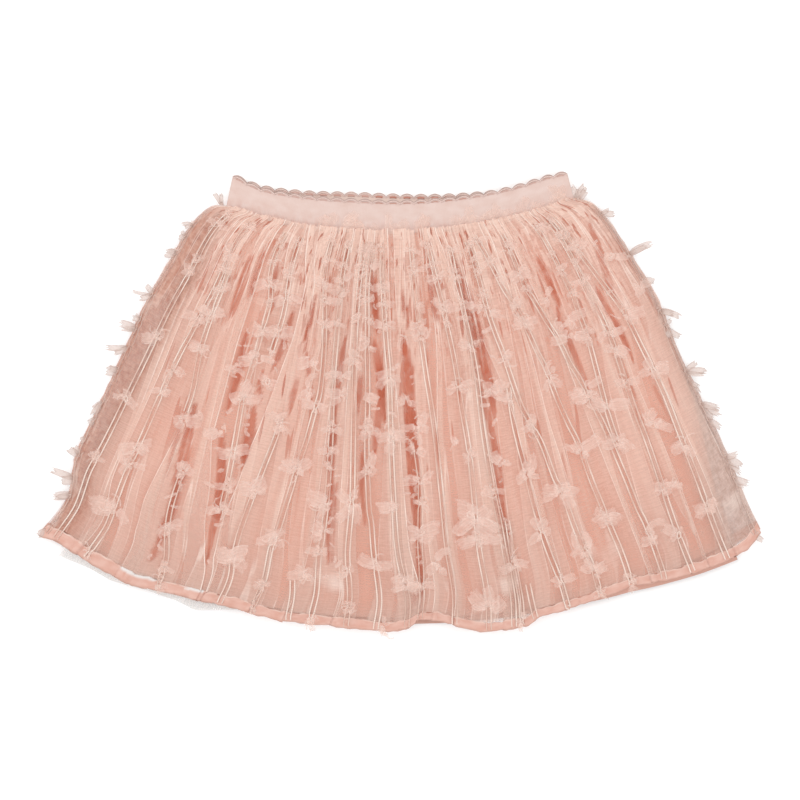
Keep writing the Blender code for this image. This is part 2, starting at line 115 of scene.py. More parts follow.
# The layers under the front panel, from the lowest up.
LAYERS = [
    # name, node, material, slot, (first line, last line, lines), columns, span, hem, floor, ripple
    (
        "tulle_back_net", "tulle_back", "tulle", "tulle",
        (0, HEM_DOWN, 40), 120, WHOLE_SPAN, BACK_HEM, 0.4, 0.6,
    ),
    ("hem_back_strip", "hem_back", "hem", "hem", (HEM_DOWN, 1, 5), 120, WHOLE_SPAN, BACK_HEM, 0.5, 0.6),
    ("petticoat_net_cloth", "petticoat_net", "net", "net", (0, 1, 60), 160, NET_SPAN, NET_HEM, 1.8, 0.5),
    (
        "lining_back_cloth", "lining_back", "lining_back", "lining",
        (0, 1, 60), 160, LINING_SPAN[:, [0, 1, 3]], LINING_BACK_HEM, 3.0, 0.5,
    ),
    (
        "lining_front_cloth", "lining_front", "lining", "lining",
        (0, 1, 60), 400, LINING_SPAN, LINING_FRONT_HEM, 4.2, 1.2,
    ),
]
# How high the layers' top is over the floor, at the skirt's middle and at its sides.
STACK_HEIGHT = 6.4
EDGE_HEIGHT = 2.6

# The bottoms between the front panel's swells, by their place across at three lines.
SWELL_DOWNS = (0.1, 0.5, 1.0)
SWELLS = np.array(
    [
        # waist, middle, hem, depth as a share of the loft
        (-1, -1, -1, 1), (-0.95, -0.955, -0.95, 0.4), (-0.88, -0.885, -0.9, 0.4), (-0.8, -0.8, -0.82, 0.4),
        (-0.72, -0.71, -0.71, 0.9), (-0.62, -0.605, -0.6, 0.8), (-0.53, -0.53, -0.53, 0.8),
        (-0.37, -0.4, -0.45, 0.5), (-0.31, -0.335, -0.37, 0.4), (-0.225, -0.24, -0.28, 0.7),
        (-0.18, -0.195, -0.2, 0.6), (-0.13, -0.14, -0.12, 0.8), (-0.01, 0.02, 0.04, 1),
        (0.13, 0.125, 0.14, 0.5), (0.2, 0.185, 0.195, 0.35), (0.28, 0.31, 0.335, 1),
        (0.37, 0.39, 0.395, 0.5), (0.46, 0.47, 0.475, 0.5), (0.54, 0.56, 0.57, 0.45),
        (0.65, 0.64, 0.65, 0.8), (0.71, 0.725, 0.74, 0.5), (0.79, 0.805, 0.795, 0.8),
        (0.865, 0.87, 0.86, 0.5), (0.94, 0.95, 0.95, 0.4), (1, 1, 1, 1),
    ]
)
LOFT = np.array([(0.0, 1.6), (0.08, 3.2), (0.2, 5.6), (0.4, 8.0), (0.7, 9.0), (1.0, 7.6)])
LOFT_SHARE = 0.5
SIDE_TAPER = 0.6
# Lanes place the straight folds in the cloth's material.
LANE_WIDTH = 150.0
LANE_HALF_WIDTH = 209.0
LANE_FLARE = 120.0

# The lines of the front panel's mesh and of its hem's strip.
FRONT_DOWNS = np.concatenate(
    [np.linspace(0.0, 0.1, 12), np.linspace(0.115, 0.95, 62), np.linspace(0.96, HEM_DOWN, 3)]
)
HEM_DOWNS = np.array([HEM_DOWN, 0.979, 0.984, 0.99, 0.995, 1.0])
# A height well over everything, from which the panel's top is looked for.
SKY = 60.0
# The panel's height over the layers, and how much more its gathers' heads rise at the waistband.
FRONT_LIFT = 0.4
HEAD_RISE = 1.4
HEAD_RUFFLE = 2.2
HEM_LIFT = 0.35
HEM_THICKNESS = 0.5
# Where the hem's strip stands off the panel and the pale net shows over its top edge.
HEM_GAPS = [(-0.786, -0.684), (-0.599, -0.555)]

# The pleats that lie over on themselves.
PLEATS = [
    # lap (1 when the free edge is the right one), amount at the waist and at the hem, then the edges
    # as (down, left, right)
    (1, 0.6, 0.8, [(0.1, -0.862, -0.842), (0.5, -0.882, -0.86), (1, -0.912, -0.89)]),
    (-1, 0.0, 1.0, [
        (0.4, -0.745, -0.722), (0.6, -0.755, -0.728), (0.75, -0.778, -0.745), (0.9, -0.802, -0.765),
        (1, -0.785, -0.75),
    ]),
    (1, 1.0, 1.0, [
        (0, -0.69, -0.655), (0.15, -0.68, -0.64), (0.6, -0.675, -0.64), (0.7, -0.67, -0.612),
        (0.75, -0.665, -0.602), (0.9, -0.66, -0.595), (1, -0.612, -0.555),
    ]),
    (-1, 1.0, 1.0, [
        (0, -0.52, -0.488), (0.15, -0.435, -0.398), (0.3, -0.442, -0.408), (0.45, -0.478, -0.42),
        (0.6, -0.515, -0.45), (0.7, -0.53, -0.48), (0.8, -0.55, -0.51), (0.9, -0.57, -0.535),
        (1, -0.545, -0.515),
    ]),
    (1, 0.8, 0.6, [(0.1, -0.38, -0.355), (0.3, -0.345, -0.322), (0.6, -0.385, -0.362), (1, -0.44, -0.415)]),
    (1, 1.0, 0.7, [
        (0.1, -0.302, -0.262), (0.3, -0.3, -0.252), (0.5, -0.29, -0.26), (0.7, -0.287, -0.268),
        (0.8, -0.292, -0.274), (0.93, -0.334, -0.318), (1, -0.34, -0.322),
    ]),
    (-1, 0.8, 0.7, [(0.1, -0.222, -0.202), (0.5, -0.206, -0.182), (1, -0.2, -0.172)]),
    (1, 1.0, 1.0, [
        (0, -0.12, -0.07), (0.15, -0.1, -0.05), (0.3, -0.078, -0.042), (0.4, -0.062, -0.02),
        (0.5, -0.052, -0.004), (0.6, -0.05, 0.002), (0.7, -0.045, 0.012), (0.8, -0.04, 0.022),
        (0.9, -0.03, 0.04), (1, -0.005, 0.05),
    ]),
    (-1, 0.0, 0.8, [(0.3, 0.04, 0.058), (0.53, 0.055, 0.076), (0.7, 0.07, 0.092), (1, 0.082, 0.104)]),
    (-1, 0.9, 0.8, [
        (0.1, 0.125, 0.15), (0.25, 0.14, 0.164), (0.5, 0.125, 0.15), (0.7, 0.13, 0.154),
        (0.9, 0.14, 0.164), (1, 0.142, 0.166),
    ]),
    (1, 0.9, 1.0, [
        (0, 0.17, 0.205), (0.15, 0.222, 0.26), (0.25, 0.245, 0.29), (0.4, 0.252, 0.3),
        (0.55, 0.256, 0.306), (0.7, 0.266, 0.316), (0.8, 0.28, 0.33), (1, 0.29, 0.336),
    ]),
    (-1, 1.0, 0.6, [
        (0.1, 0.302, 0.338), (0.25, 0.312, 0.35), (0.33, 0.34, 0.378), (0.42, 0.38, 0.415),
        (0.5, 0.4, 0.436), (0.7, 0.42, 0.448), (1, 0.452, 0.476),
    ]),
    (1, 0.9, 0.5, [(0.1, 0.462, 0.482), (0.4, 0.492, 0.512), (0.7, 0.522, 0.542), (1, 0.545, 0.562)]),
    (-1, 0.9, 0.7, [
        (0.1, 0.56, 0.588), (0.3, 0.6, 0.628), (0.5, 0.64, 0.664), (0.7, 0.66, 0.684), (1, 0.69, 0.714),
    ]),
    (1, 0.8, 0.6, [(0.1, 0.762, 0.788), (0.4, 0.808, 0.832), (0.7, 0.828, 0.852), (1, 0.84, 0.862)]),
    (-1, 0.6, 0.7, [(0.1, 0.88, 0.9), (0.5, 0.905, 0.925), (1, 0.925, 0.945)]),
]
# Cross-sections: fraction of the width from the hidden edge to the free one, and level.
PLEAT_FORM = [
    (-0.12, 0), (0.08, 0.85), (0.5, 1.1), (0.9, 1), (1, 0.78), (0.9, 0.56), (0.5, 0.5), (0.1, 0.42),
    (0, 0.24), (0.12, 0.04), (0.6, 0), (1.1, 0),
]
GATHER_FORM = [
    (-0.4, 0), (0.3, 0.9), (1, 0.75), (0.45, 0.45), (0, 0.2), (1.3, 0),
]
PLEAT_THICKNESS = 0.9
# The width from which a pleat has its full thickness.
FULL_PLEAT = 9.0
# The least distance across between a pleat's edges, and from one pleat's free edge to the next.
PLEAT_GAP = 0.012
AFTER_PLEAT = 0.004
# A pleat that is flat at the waist folds over along this stretch, down to its first edges.
PLEAT_START = 0.25
GATHER_WIDTH = 3.0
GATHER_PITCH = 6.2
GATHER_THICKNESS = 0.4
# The line of FRONT_DOWNS where the gathers are counted.
GATHER_LINE = 5
# How far down the gathers reach, and how often they do.
GATHER_REACHES = (0.12, 0.22, 0.38, 0.7)
GATHER_ODDS = (0.35, 0.3, 0.22, 0.13)
# The distance from a free edge that stands for "none near".
FAR = 9.0

# Where the panel sinks to the lining: the tulle is thinner there, and the tulle and the lining are painted
# a deep coral as shade.
VALLEYS = [
    # half width in millimetres, strength, places (across, down)
    (5.0, 1.0, [
        (0.272, 0.09), (0.288, 0.147), (0.298, 0.185), (0.308, 0.23), (0.314, 0.277), (0.324, 0.353),
        (0.332, 0.417), (0.338, 0.5),
    ]),
    (3.4, 0.85, [
        (0.322, 0.46), (0.32, 0.495), (0.326, 0.565), (0.322, 0.65), (0.316, 0.7), (0.322, 0.763),
        (0.326, 0.85),
    ]),
    (5.6, 1.0, [
        (0.006, 0.26), (0.01, 0.287), (0.02, 0.325), (0.026, 0.375), (0.027, 0.43), (0.035, 0.5),
        (0.038, 0.577), (0.043, 0.68), (0.046, 0.81),
    ]),
    (3.2, 0.9, [(0.046, 0.79), (0.046, 0.877), (0.046, 0.96)]),
    (2.6, 0.9, [(0.008, 0.155), (0.01, 0.173), (0.028, 0.225), (0.03, 0.24)]),
    (2.2, 0.9, [(0.138, 0.07), (0.142, 0.113), (0.14, 0.15), (0.144, 0.207), (0.146, 0.24)]),
    (3.0, 1.0, [(-0.132, 0.11), (-0.12, 0.175), (-0.104, 0.243), (-0.1, 0.26)]),
    (3.6, 1.0, [(-0.116, 0.275), (-0.1, 0.313), (-0.086, 0.355), (-0.074, 0.425), (-0.056, 0.485)]),
    (2.2, 0.8, [(-0.16, 0.36), (-0.16, 0.47)]),
    (2.6, 1.0, [(0.648, 0.12), (0.658, 0.175), (0.658, 0.208), (0.662, 0.247), (0.636, 0.3)]),
    (2.4, 0.7, [(0.646, 0.29), (0.66, 0.388), (0.68, 0.49)]),
    (2.6, 0.9, [(0.82, 0.25), (0.822, 0.31), (0.838, 0.375), (0.85, 0.47)]),
    (4.0, 0.85, [(-0.62, 0.31), (-0.62, 0.348), (-0.618, 0.393), (-0.616, 0.45), (-0.618, 0.53)]),
    (4.6, 1.0, [(-0.534, 0.49), (-0.526, 0.563), (-0.526, 0.65)]),
    (4.4, 0.9, [
        (-0.616, 0.58), (-0.598, 0.63), (-0.58, 0.695), (-0.568, 0.78), (-0.576, 0.828), (-0.584, 0.91),
    ]),
    (4.8, 0.8, [
        (-0.726, 0.53), (-0.716, 0.625), (-0.706, 0.703), (-0.698, 0.79), (-0.714, 0.845), (-0.724, 0.96),
    ]),
    (2.4, 0.5, [(-0.752, 0.52), (-0.748, 0.637), (-0.742, 0.74)]),
    (3.0, 0.85, [(-0.462, 0.23), (-0.472, 0.302), (-0.476, 0.338), (-0.5, 0.4)]),
    (2.0, 1.0, [(-0.374, 0.17), (-0.386, 0.238), (-0.39, 0.282), (-0.386, 0.33)]),
    (1.8, 0.9, [(-0.388, 0.32), (-0.37, 0.35), (-0.35, 0.39)]),
    (2.6, 0.6, [(-0.394, 0.39), (-0.402, 0.438), (-0.404, 0.49)]),
    (1.5, 0.8, [(-0.256, 0.34), (-0.246, 0.42), (-0.24, 0.5)]),
    (1.6, 0.8, [(-0.53, 0.39), (-0.53, 0.432), (-0.508, 0.48)]),
    (4.0, 0.9, [(-0.24, 0.49), (-0.242, 0.583), (-0.234, 0.65)]),
    (4.0, 0.9, [(-0.232, 0.62), (-0.226, 0.7), (-0.22, 0.82), (-0.216, 0.88)]),
    (3.2, 0.9, [(-0.078, 0.42), (-0.088, 0.5), (-0.096, 0.57)]),
    (1.8, 0.8, [(-0.136, 0.55), (-0.132, 0.653), (-0.114, 0.75)]),
    (2.4, 0.7, [(-0.232, 0.27), (-0.24, 0.357), (-0.242, 0.44)]),
    (2.4, 0.8, [(-0.706, 0.12), (-0.706, 0.207), (-0.702, 0.3)]),
    (2.2, 0.8, [(-0.66, 0.09), (-0.656, 0.168), (-0.654, 0.24)]),
    (2.2, 0.8, [(-0.578, 0.12), (-0.572, 0.21)]),
    (3.0, 0.6, [(0.93, 0.09), (0.885, 0.2), (0.86, 0.32)]),
]
# Crumpled bits of tulle lie in valleys of at least this half width, at places this far apart.
RUFFLED_WIDTH = 3.0
RUFFLE_PITCH = 6.0

# Crushed tulle over the foot of the waistband.
TUFT_HEIGHT = 6.4
WAIST_TUFTS = [
    # start and end across, how many, how far up the band they start
    (-0.42, -0.20, 10, 5.0),
    (-0.18, 0.02, 5, 0.0),
    (0.10, 0.26, 3, -1.0),
    (0.32, 0.56, 10, 3.0),
    (0.62, 0.90, 8, -1.0),
    (0.93, 0.99, 4, 3.0),
]

# The elastic waistband.
BAND = np.array(
    [
        # across, front_height, back_height
        (-1.00, 24.0, 24.5),
        (-0.84, 21.0, 22.8),
        (-0.62, 22.3, 25.5),
        (-0.30, 24.2, 29.2),
        (0.00, 23.6, 28.4),
        (0.35, 23.3, 25.6),
        (0.65, 22.8, 22.6),
        (0.88, 22.6, 21.6),
        (1.00, 20.0, 20.0),
    ]
)
BANDS = [
    # side, column of its height in BAND, height over the floor, radius of its picots' slots
    ("back", 2, 1.5, 0.7),
    ("front", 1, 5.0, 0.26),
]
# The band's lines, from a little under its foot, as shares of its height without the picots.
BAND_LINES = np.array([-0.10, 0.0, 0.05, 0.12, 0.3, 0.5, 0.7, 0.86, 0.93, 1.0])
BAND_THICKNESS = 1.0
BAND_TOP_SHARE = 0.965
PICOTS = 24
PICOT_HEIGHT = 2.6
PICOT_POWER = 0.8
PICOT_POINTS = 9
PICOT_LIFT = 1.4
# The picots in the middle, whose slots are darker.
DARK_PICOTS = range(10, 17)

# The thread stripes.
STRIPES = {
    # stripe: its paths, each with its places (across, down)
    1: [[
        (-0.905, 0.05), (-0.905, 0.2), (-0.91, 0.3), (-0.915, 0.4), (-0.925, 0.5), (-0.93, 0.6),
        (-0.935, 0.7), (-0.938, 0.78), (-0.955, 0.85), (-0.965, 0.92), (-0.955, 1),
    ]],
    2: [[
        (-0.79, 0.04), (-0.79, 0.2), (-0.8, 0.3), (-0.81, 0.37), (-0.82, 0.42), (-0.835, 0.5),
        (-0.84, 0.6), (-0.845, 0.68), (-0.85, 0.8), (-0.865, 0.86), (-0.875, 0.93), (-0.87, 1),
    ]],
    3: [
        [(-0.77, 0.18), (-0.765, 0.25), (-0.76, 0.4), (-0.745, 0.5), (-0.745, 0.56)],
        [(-0.7, 0.7), (-0.705, 0.8), (-0.71, 0.88), (-0.69, 0.95), (-0.67, 1)],
    ],
    4: [[
        (-0.61, 0.04), (-0.6, 0.15), (-0.57, 0.2), (-0.565, 0.25), (-0.565, 0.38), (-0.57, 0.42),
        (-0.575, 0.48), (-0.57, 0.53), (-0.565, 0.6), (-0.558, 0.7), (-0.558, 0.78),
    ]],
    5: [
        [(-0.53, 0.04), (-0.51, 0.15), (-0.5, 0.25), (-0.512, 0.35)],
        [
            (-0.43, 0.5), (-0.435, 0.55), (-0.455, 0.62), (-0.47, 0.7), (-0.49, 0.8), (-0.51, 0.87),
            (-0.515, 0.9), (-0.505, 0.95), (-0.5, 1),
        ],
    ],
    6: [[
        (-0.37, 0.03), (-0.36, 0.12), (-0.335, 0.2), (-0.315, 0.28), (-0.305, 0.35), (-0.305, 0.42),
        (-0.31, 0.46), (-0.335, 0.55), (-0.35, 0.62), (-0.365, 0.7), (-0.38, 0.78), (-0.395, 0.83),
        (-0.42, 0.9), (-0.415, 0.97), (-0.408, 1),
    ]],
    7: [
        [
            (-0.28, 0.03), (-0.275, 0.1), (-0.27, 0.2), (-0.27, 0.3), (-0.255, 0.45), (-0.245, 0.55),
            (-0.245, 0.62), (-0.24, 0.7), (-0.245, 0.78), (-0.25, 0.82), (-0.265, 0.88), (-0.26, 0.95),
            (-0.25, 1),
        ],
        [(-0.335, 0.9), (-0.33, 0.93), (-0.31, 1)],
    ],
    8: [[
        (-0.15, 0.03), (-0.155, 0.12), (-0.15, 0.2), (-0.14, 0.3), (-0.13, 0.38), (-0.125, 0.45),
        (-0.12, 0.55), (-0.115, 0.62), (-0.105, 0.7), (-0.095, 0.75), (-0.08, 0.9), (-0.068, 1),
    ]],
    9: [[
        (-0.19, 0.03), (-0.19, 0.1), (-0.195, 0.2), (-0.19, 0.3), (-0.18, 0.4), (-0.17, 0.5),
        (-0.165, 0.6), (-0.16, 0.68), (-0.165, 0.78), (-0.17, 0.85), (-0.165, 0.93), (-0.15, 1),
    ]],
    10: [[
        (-0.105, 0.03), (-0.1, 0.05), (-0.085, 0.12), (-0.075, 0.2), (-0.065, 0.28), (-0.05, 0.36),
        (-0.04, 0.45), (-0.035, 0.55), (-0.03, 0.65), (-0.02, 0.75), (-0.015, 0.82), (-0.005, 0.88),
        (0.005, 0.93), (0.018, 1),
    ]],
    11: [
        [
            (0.055, 0.04), (0.06, 0.1), (0.07, 0.2), (0.08, 0.27), (0.09, 0.35), (0.105, 0.42),
            (0.12, 0.5), (0.125, 0.6), (0.13, 0.7), (0.14, 0.9), (0.15, 1),
        ],
        [(0.05, 0.55), (0.06, 0.62), (0.06, 0.68), (0.055, 0.76), (0.05, 0.85), (0.045, 0.92), (0.055, 1)],
    ],
    12: [[
        (0.14, 0.03), (0.155, 0.08), (0.17, 0.13), (0.18, 0.18), (0.195, 0.25), (0.205, 0.32),
        (0.215, 0.39), (0.22, 0.45), (0.23, 0.5), (0.235, 0.57), (0.235, 0.65), (0.23, 0.75),
        (0.235, 0.82), (0.235, 0.9), (0.245, 1),
    ]],
    13: [[
        (0.255, 0.05), (0.27, 0.2), (0.285, 0.35), (0.29, 0.5), (0.295, 0.65), (0.305, 0.75), (0.31, 0.9),
        (0.315, 1),
    ]],
    14: [
        [(0.33, 0.74), (0.33, 0.88), (0.335, 0.95), (0.337, 1)],
        [(0.358, 0.9), (0.362, 0.94), (0.375, 1)],
    ],
    15: [[
        (0.4, 0.42), (0.4, 0.5), (0.405, 0.57), (0.41, 0.62), (0.415, 0.7), (0.425, 0.78), (0.43, 0.83),
        (0.445, 0.9), (0.46, 0.97), (0.465, 1),
    ]],
    16: [[
        (0.35, 0.04), (0.36, 0.08), (0.37, 0.2), (0.385, 0.28), (0.4, 0.33), (0.41, 0.4), (0.44, 0.48),
        (0.465, 0.53), (0.48, 0.58), (0.5, 0.67), (0.51, 0.7), (0.52, 0.78), (0.53, 0.85), (0.545, 0.9),
        (0.555, 1),
    ]],
    17: [[
        (0.4, 0.03), (0.42, 0.07), (0.44, 0.12), (0.465, 0.18), (0.49, 0.22), (0.505, 0.28), (0.53, 0.35),
        (0.545, 0.4), (0.565, 0.48), (0.585, 0.55), (0.595, 0.6), (0.605, 0.7), (0.615, 0.76),
        (0.62, 0.83), (0.635, 0.9), (0.64, 1),
    ]],
    18: [[
        (0.54, 0.04), (0.55, 0.17), (0.57, 0.22), (0.595, 0.28), (0.61, 0.33), (0.635, 0.4), (0.655, 0.45),
        (0.68, 0.52), (0.69, 0.58), (0.7, 0.65), (0.705, 0.72), (0.715, 0.8), (0.72, 0.85), (0.735, 0.95),
        (0.73, 1),
    ]],
    19: [[
        (0.71, 0.04), (0.72, 0.18), (0.725, 0.25), (0.72, 0.3), (0.72, 0.48), (0.715, 0.55), (0.715, 0.63),
    ]],
    20: [[
        (0.77, 0.04), (0.78, 0.1), (0.79, 0.3), (0.8, 0.4), (0.805, 0.5), (0.8, 0.57), (0.805, 0.65),
        (0.8, 0.78), (0.8, 0.85), (0.805, 0.93), (0.81, 1),
    ]],
    21: [[
        (0.8, 0.04), (0.815, 0.13), (0.835, 0.2), (0.855, 0.27), (0.87, 0.33), (0.885, 0.42), (0.9, 0.5),
        (0.905, 0.58), (0.9, 0.67), (0.9, 0.85), (0.905, 1),
    ]],
}
# The gap between a pair's threads.
THREAD_GAPS = np.array([(0.0, 2.5), (0.3, 2.9), (0.6, 3.2), (1.0, 3.5)])
THREAD_RADIUS = 0.54
THREAD_LIFT = 0.6
# How much of their thickness the threads have at the waistband.
WAIST_THREAD_SHARE = 0.74
# The shade of the threads on the two sides: 0 is bright and thick, 1 dull and thin.
SIDE_THREAD_SHADE = 0.8
# A knot pinches its threads together from this far up and down.
PINCH = 0.008
LAST_DOWN = 0.995
# How near to its stripe a charted bow is tied on it.
KNOT_REACH = 0.035

# The bows tied on the stripes.
BOWS = {
    # stripe: its bows as (across, down, kind, size, tilt in degrees)
    1: [
        (-0.905, 0.23, "tuft", 0.8, 60), (-0.915, 0.42, "leaf", 1, 200), (-0.93, 0.6, "ring", 0.9, 0),
        (-0.945, 0.78, "tuft", 0.7, 20),
    ],
    2: [
        (-0.8, 0.15, "tuft", 0.9, 10), (-0.83, 0.32, "bar", 1, 5), (-0.86, 0.48, "bar", 1.1, -5),
        (-0.85, 0.54, "bar", 0.8, 10), (-0.84, 0.7, "bow", 1, 0), (-0.825, 0.745, "ring", 0.9, 10),
        (-0.87, 0.88, "bow", 1.3, -8), (-0.87, 0.985, "hang", 0.8, 0),
    ],
    3: [
        (-0.77, 0.3, "bar", 1, 4), (-0.75, 0.4, "bow", 0.8, 0), (-0.76, 0.58, "bow", 0.9, 10),
        (-0.71, 0.7, "tuft", 0.9, 0), (-0.71, 0.86, "vee", 1, 0), (-0.69, 0.95, "tuft", 0.8, 30),
        (-0.68, 0.985, "hang", 0.9, 0),
    ],
    4: [
        (-0.6, 0.18, "bar", 0.9, 0), (-0.58, 0.3, "bow", 0.8, 0), (-0.6, 0.365, "bar", 1, 3),
        (-0.62, 0.41, "bar", 0.7, 0), (-0.575, 0.48, "dome", 1, -6), (-0.62, 0.57, "leaf", 0.9, 170),
        (-0.57, 0.62, "bow", 0.8, 0), (-0.57, 0.71, "bar", 0.9, 4), (-0.57, 0.77, "bar", 0.9, -6),
    ],
    5: [
        (-0.5, 0.14, "tuft", 0.8, 0), (-0.48, 0.2, "bar", 0.9, 4), (-0.47, 0.29, "bow", 0.8, 0),
        (-0.52, 0.35, "leaf", 0.8, 180), (-0.5, 0.42, "bar", 0.8, 0), (-0.44, 0.52, "ring", 1, 0),
        (-0.47, 0.7, "bow", 1, 5), (-0.52, 0.88, "bow", 1.3, 0),
    ],
    6: [
        (-0.37, 0.15, "bar", 0.8, 0), (-0.33, 0.25, "tuft", 0.7, 0), (-0.35, 0.35, "leaf", 0.9, 175),
        (-0.345, 0.42, "ring", 0.9, 20), (-0.34, 0.46, "bar", 0.9, 5), (-0.35, 0.62, "dome", 0.9, -5),
        (-0.4, 0.8, "bow", 1.1, 5), (-0.415, 0.93, "tuft", 0.7, 0), (-0.41, 0.985, "hang", 0.7, 0),
    ],
    7: [
        (-0.24, 0.17, "tuft", 0.9, 0), (-0.27, 0.24, "leaf", 0.7, 180), (-0.245, 0.5, "tuft", 0.8, 0),
        (-0.23, 0.56, "bar", 0.8, 0), (-0.245, 0.6, "tuft", 0.6, 90), (-0.22, 0.7, "bow", 1.1, 4),
        (-0.25, 0.77, "leaf", 0.9, 185), (-0.22, 0.82, "bar", 0.8, 0), (-0.3, 0.88, "bow", 0.9, 0),
        (-0.27, 0.985, "hang", 1, 0),
    ],
    8: [
        (-0.15, 0.5, "ring", 1, 10), (-0.11, 0.29, "tuft", 0.8, 0), (-0.1, 0.42, "leaf", 0.8, 0),
        (-0.1, 0.6, "ring", 1, 0), (-0.09, 0.84, "bow", 0.9, 0),
    ],
    9: [
        (-0.23, 0.37, "bar", 0.8, 0), (-0.22, 0.42, "leaf", 0.8, 180), (-0.18, 0.33, "tuft", 0.8, 0),
        (-0.17, 0.68, "vee", 1.1, 180), (-0.19, 0.86, "leaf", 1, 190), (-0.16, 0.95, "tuft", 0.7, 0),
    ],
    10: [
        (-0.075, 0.15, "tuft", 0.8, 0), (-0.04, 0.24, "bar", 0.9, 5), (-0.02, 0.365, "bar", 1.3, 6),
        (-0.06, 0.52, "bow", 1.2, 10), (-0.06, 0.69, "leaf", 0.9, 180), (0, 0.88, "bow", 1, -4),
        (-0.05, 0.985, "hang", 1, 0),
    ],
    11: [
        (0.08, 0.27, "tuft", 0.8, 0), (0.09, 0.1, "tuft", 0.8, 0), (0.02, 0.43, "bar", 0.8, -4),
        (0.06, 0.49, "bar", 1, 30), (0.03, 0.55, "ring", 0.9, 0), (0.09, 0.63, "bar", 0.9, 3),
        (0.09, 0.69, "bar", 0.9, -3), (0.05, 0.77, "bow", 1, 0), (0.1, 0.85, "ring", 1, 0),
        (0.02, 0.9, "bar", 0.8, 0),
    ],
    12: [
        (0.17, 0.2, "bow", 0.8, 0), (0.22, 0.4, "bar", 0.9, 5), (0.18, 0.53, "leaf", 1, 175),
        (0.235, 0.57, "tuft", 0.7, 0), (0.23, 0.73, "bow", 1.5, 2), (0.225, 0.775, "bar", 1.3, -2),
        (0.235, 0.94, "dome", 1.1, 0),
    ],
    13: [
        (0.28, 0.12, "tuft", 0.8, 0), (0.275, 0.3, "leaf", 0.8, 180), (0.295, 0.66, "leaf", 0.9, 170),
    ],
    14: [
        (0.34, 0.2, "bar", 0.8, 0), (0.34, 0.42, "dome", 1, 0), (0.34, 0.6, "leaf", 1, 120),
        (0.335, 0.85, "ring", 1.1, 0), (0.34, 0.985, "hang", 1, 0),
    ],
    15: [
        (0.4, 0.35, "tuft", 0.9, 0), (0.38, 0.45, "leaf", 0.8, 180), (0.385, 0.64, "ring", 1, 0),
        (0.43, 0.79, "vee", 1, 0), (0.45, 0.92, "bar", 0.8, 0),
    ],
    16: [
        (0.47, 0.53, "tuft", 1, 20), (0.5, 0.7, "bow", 1.1, 0), (0.52, 0.86, "ring", 1, 0),
        (0.55, 0.92, "bow", 0.9, 0), (0.375, 0.22, "leaf", 0.8, 0), (0.55, 0.985, "hang", 0.8, 0),
    ],
    17: [
        (0.49, 0.22, "tuft", 0.8, 0), (0.48, 0.27, "bow", 0.8, 0), (0.54, 0.42, "ring", 1, 0),
        (0.6, 0.62, "vee", 1.1, 0), (0.61, 0.8, "bow", 1, 0), (0.61, 0.985, "hang", 1, 0),
    ],
    18: [
        (0.55, 0.08, "tuft", 0.8, 0), (0.56, 0.15, "bow", 0.8, 0), (0.63, 0.23, "tuft", 0.8, 0),
        (0.66, 0.3, "bar", 1.2, 4), (0.66, 0.34, "bar", 1, 0), (0.7, 0.48, "bar", 1, 4),
        (0.67, 0.5, "leaf", 0.8, 180), (0.75, 0.88, "ring", 1, 0),
    ],
    19: [
        (0.74, 0.54, "bar", 1.2, 3), (0.72, 0.35, "tuft", 0.8, 0), (0.715, 0.63, "bow", 0.9, 0),
    ],
    20: [
        (0.8, 0.1, "tuft", 0.8, 0), (0.81, 0.37, "bar", 0.9, 0), (0.81, 0.42, "bow", 0.9, 0),
        (0.82, 0.5, "bar", 0.9, 5), (0.84, 0.62, "bar", 1.2, -20), (0.8, 0.78, "tuft", 0.9, 0),
        (0.81, 0.9, "bow", 0.9, 0),
    ],
    21: [
        (0.83, 0.14, "tuft", 0.8, 0), (0.93, 0.2, "bar", 0.8, 0), (0.87, 0.35, "bow", 0.9, 0),
        (0.95, 0.3, "leaf", 0.8, 0), (0.9, 0.5, "bow", 1, 0), (0.87, 0.7, "bar", 1.2, -20),
        (0.83, 0.78, "bar", 0.8, 0), (0.91, 0.86, "bow", 0.9, 0),
    ],
}
# The strips of tulle that each kind of bow has at size 1.
BOW_FORMS = {
    # kind: its strips as (angle in degrees, length, breadth, curl, rise)
    "bow": [
        (12, 13, 7.5, -0.25, 2), (168, 13, 7.5, 0.25, 2), (35, 9.5, 5.5, -0.2, 1), (145, 9.5, 5.5, 0.2, 1),
        (-35, 10.5, 5, 0, 0.8), (215, 10.5, 5, 0, 0.8),
    ],
    "bar": [
        (3, 11.5, 6, 0, 1.4), (177, 11.5, 6, 0, 1.4), (-16, 9, 4.5, 0, 0.7), (196, 9, 4.5, 0, 0.7),
    ],
    "leaf": [
        (5, 14, 7.5, -0.3, 1.8), (18, 11, 5.5, 0.2, 0.8), (195, 7, 5, 0, 0.8),
    ],
    "ring": [
        (52, 14, 4.2, 1.9, 1.8), (128, 14, 4.2, -1.9, 1.8), (-28, 9.5, 5, 0, 0.8), (208, 9.5, 5, 0, 0.8),
    ],
    "tuft": [
        (30, 8.5, 5.5, 0.4, 1.8), (88, 8.5, 5.5, -0.3, 1.8), (150, 8.5, 5.5, 0.3, 1.8), (215, 8, 5, 0, 1),
        (310, 8, 5, 0, 1),
    ],
    "vee": [
        (52, 14, 5.8, 0, 1.6), (126, 14, 5.8, 0, 1.6), (-14, 10.5, 5, 0, 0.8), (194, 10.5, 5, 0, 0.8),
    ],
    "hang": [
        (-72, 7.5, 3.2, 0.3, 0.8), (-112, 6.5, 3, -0.3, 0.6), (-90, 8, 1.8, 0.6, 0.8),
    ],
    "dome": [
        (20, 12, 6.5, 0.5, 2), (62, 12, 6.5, 0.2, 2), (112, 12, 6.5, -0.2, 2), (158, 12, 6.5, -0.5, 2),
        (-12, 8.5, 4.5, 0, 0.8), (192, 8.5, 4.5, 0, 0.8),
    ],
}
BOW_SCALE = 1.1
BOW_LIFT = 0.5
